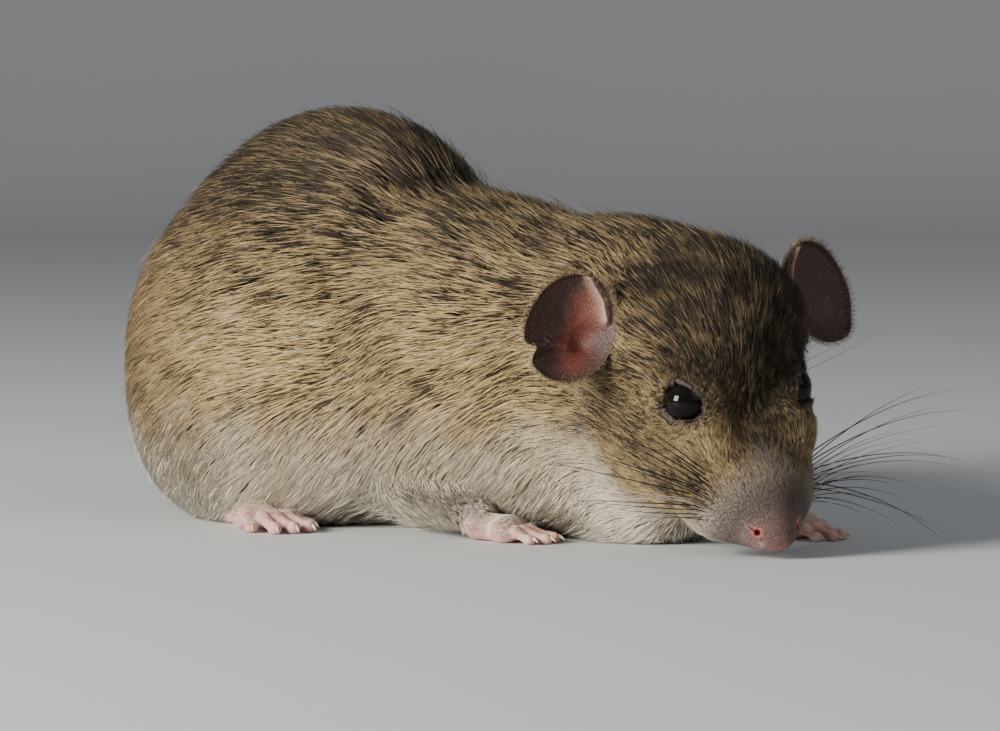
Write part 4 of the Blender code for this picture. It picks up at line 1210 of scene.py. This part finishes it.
# Back along the near cheek, in head axes; out over the far side, in the body's own axes.
NEAR_SWEEP, NEAR_BEND = (-0.42, -0.88, 0.24), (-0.66, -0.74, -0.08)
FAR_SWEEP, FAR_BEND = (0.28, 0.92, 0.32), (0.10, 0.98, -0.20)
STUBS = [(-7.2, (-0.50, -0.10, 0.86)), (-8.3, (-0.62, 0.16, 0.78)), (-6.0, (-0.35, -0.35, 0.86))]
for side, name in ((RIGHT, "whiskers_right"), (LEFT, "whiskers_left")):
    hairs = []
    for row in range(5):
        for column in range(6):
            root = skin_spot((-3.9 - 1.15 * column, 12, 6.0 - 1.6 * row), side)
            reach = rng.uniform(0.85, 1.1)
            if side == RIGHT:
                fan = np.array((0, 0, 0.20 * (1.6 - row)))
                heading, bend = HEAD_AXES @ (NEAR_SWEEP + fan), HEAD_AXES @ (NEAR_BEND + fan * 0.9)
                length = (8 + 3.0 * column) * reach
                shade = float(row > 2 and rng.random() < 0.5)
                thickness = (0.085 + 0.010 * column) * (1 - 0.4 * shade)
            else:
                fan = np.array((0, 0, 0.16 * (1.6 - row)))
                heading, bend = FAR_SWEEP + fan, FAR_BEND + fan
                length = (12 + 5.2 * column) * reach
                thickness = 0.065 + 0.009 * column
                shade = float(rng.random() < 0.35)
            heading, bend = heading + rng.normal(0, 0.05, 3), bend + rng.normal(0, 0.06, 3)
            hairs.append((root, heading, bend, length, thickness, shade))
    for forward, way in STUBS:
        way = HEAD_AXES @ on_side(way, side)
        hairs.append((skin_spot((forward, 6, 9), side), way, way + HEAD_AXES[:, 0] * -0.4, 6.0, 0.06, 0.0))
    for step in range(3):
        ways = [HEAD_AXES @ on_side(way, side) for way in ((0.1, 0.8, 0.6), (-0.3, 0.95, 0.2))]
        hairs.append((skin_spot((-19 - step * 1.5, 6.5, 15), side), *ways, 19 - 5 * step, 0.05, 0.0))
    taper = 1 - 0.92 * np.linspace(0, 1, WHISKER_STEPS)
    shades = np.repeat([hair[5] for hair in hairs], WHISKER_STEPS)
    whiskers = swept(name, [whisker_line(*hair[:4]) for hair in hairs], [hair[4] * taper for hair in hairs],
                     WHISKER_SIDES, 0.0, whisker_hair, {"chance": shades})
    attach(whiskers, "root")

# The stage: a pale floor that curves up all round, as paper does in a studio, soft light from the rat's
# right and above, and the camera low in front.
FLOOR_SPOKES, FLAT_REACH, FLOOR_REACH = 96, 1.6, 3.2
floor_reach = np.concatenate((np.linspace(0.1, FLAT_REACH, 8), np.linspace(FLAT_REACH + 0.1, FLOOR_REACH, 16)))
floor_rise = 1.1 * np.maximum(floor_reach - FLAT_REACH, 0) ** 2
spokes = np.linspace(0, 2 * pi, FLOOR_SPOKES, endpoint=False)
floor_points = [(0, 0, 0)] + [(reach * cos(turn), reach * sin(turn), rise)
                              for reach, rise in zip(floor_reach, floor_rise) for turn in spokes]
floor_faces = [(0, 1 + step, 1 + (step + 1) % FLOOR_SPOKES) for step in range(FLOOR_SPOKES)]
for ring in range(len(floor_reach) - 1):
    for step in range(FLOOR_SPOKES):
        low, after = 1 + ring * FLOOR_SPOKES + step, 1 + ring * FLOOR_SPOKES + (step + 1) % FLOOR_SPOKES
        floor_faces.append((low, low + FLOOR_SPOKES, after + FLOOR_SPOKES, after))
floor_mesh = bpy.data.meshes.new("floor")
floor_mesh.from_pydata(floor_points, [], floor_faces)
floor_mesh.shade_smooth()
floor = new_piece("floor", floor_mesh)
pale, tree, surface = new_material("pale_floor", 0.7)
colour = mixed(tree, noise(tree, object_place(tree), 3), (0.60, 0.61, 0.62), (0.64, 0.65, 0.66))
link(tree, colour, surface.inputs["Base Color"])
floor.data.materials.append(pale)


def stood(place, columns):
    """The matrix of something that stands at a place, turned to three axes."""
    return Matrix.Translation(place) @ Matrix(np.stack(columns, 1).tolist()).to_4x4()


CAMERA_AZIMUTH, CAMERA_ELEVATION, CAMERA_DISTANCE = radians(40), radians(3.5), 650.0
FOCUS_PIXELS, PICTURE, NOSE_PIXEL = 4333.0, (1000, 731), (777, 541)
across = np.array((cos(CAMERA_AZIMUTH), sin(CAMERA_AZIMUTH), 0))
back = np.array((sin(CAMERA_AZIMUTH) * cos(CAMERA_ELEVATION), -cos(CAMERA_AZIMUTH) * cos(CAMERA_ELEVATION),
                 sin(CAMERA_ELEVATION)))
above = np.cross(back, across)
reach = CAMERA_DISTANCE / FOCUS_PIXELS
eye_place = (NOSE_TIP + SHIFT - across * (NOSE_PIXEL[0] - PICTURE[0] / 2) * reach
             + above * (NOSE_PIXEL[1] - PICTURE[1] / 2) * reach + back * CAMERA_DISTANCE) * MM
lens = bpy.data.cameras.new("camera")
lens.sensor_fit, lens.sensor_width, lens.lens = "HORIZONTAL", 36.0, 36.0 * FOCUS_PIXELS / PICTURE[0]
lens.clip_start, lens.clip_end = 0.01, 20.0
camera = new_piece("camera", lens)
camera.matrix_world = stood(eye_place, (across, above, back))
bpy.context.scene.camera = camera


def softbox(name, way, distance, size, power, colour):
    """A square light that looks at the middle of the rat from a way given in the camera's axes."""
    data = bpy.data.lights.new(name, "AREA")
    data.size, data.energy, data.color = size, power, colour
    lamp = new_piece(name, data)
    heading = unit(way[0] * across + way[1] * above + way[2] * back)
    sideways = unit(np.cross((0, 0, 1), heading))
    upright = np.cross(heading, sideways)
    lamp.matrix_world = stood(heading * distance + (0, 0, 0.03), (sideways, upright, heading))


softbox("key", (-0.85, 0.32, 0.60), 0.9, 0.35, 16.5, (1.0, 0.96, 0.90))
softbox("fill", (0.8, 0.6, 0.6), 1.2, 0.9, 2.0, (0.93, 0.96, 1.0))
world = bpy.data.worlds.new("studio")
world.use_nodes = True
sky = world.node_tree.nodes["Background"].inputs
sky["Color"].default_value, sky["Strength"].default_value = (0.75, 0.78, 0.82, 1), 0.3
bpy.context.scene.world = world
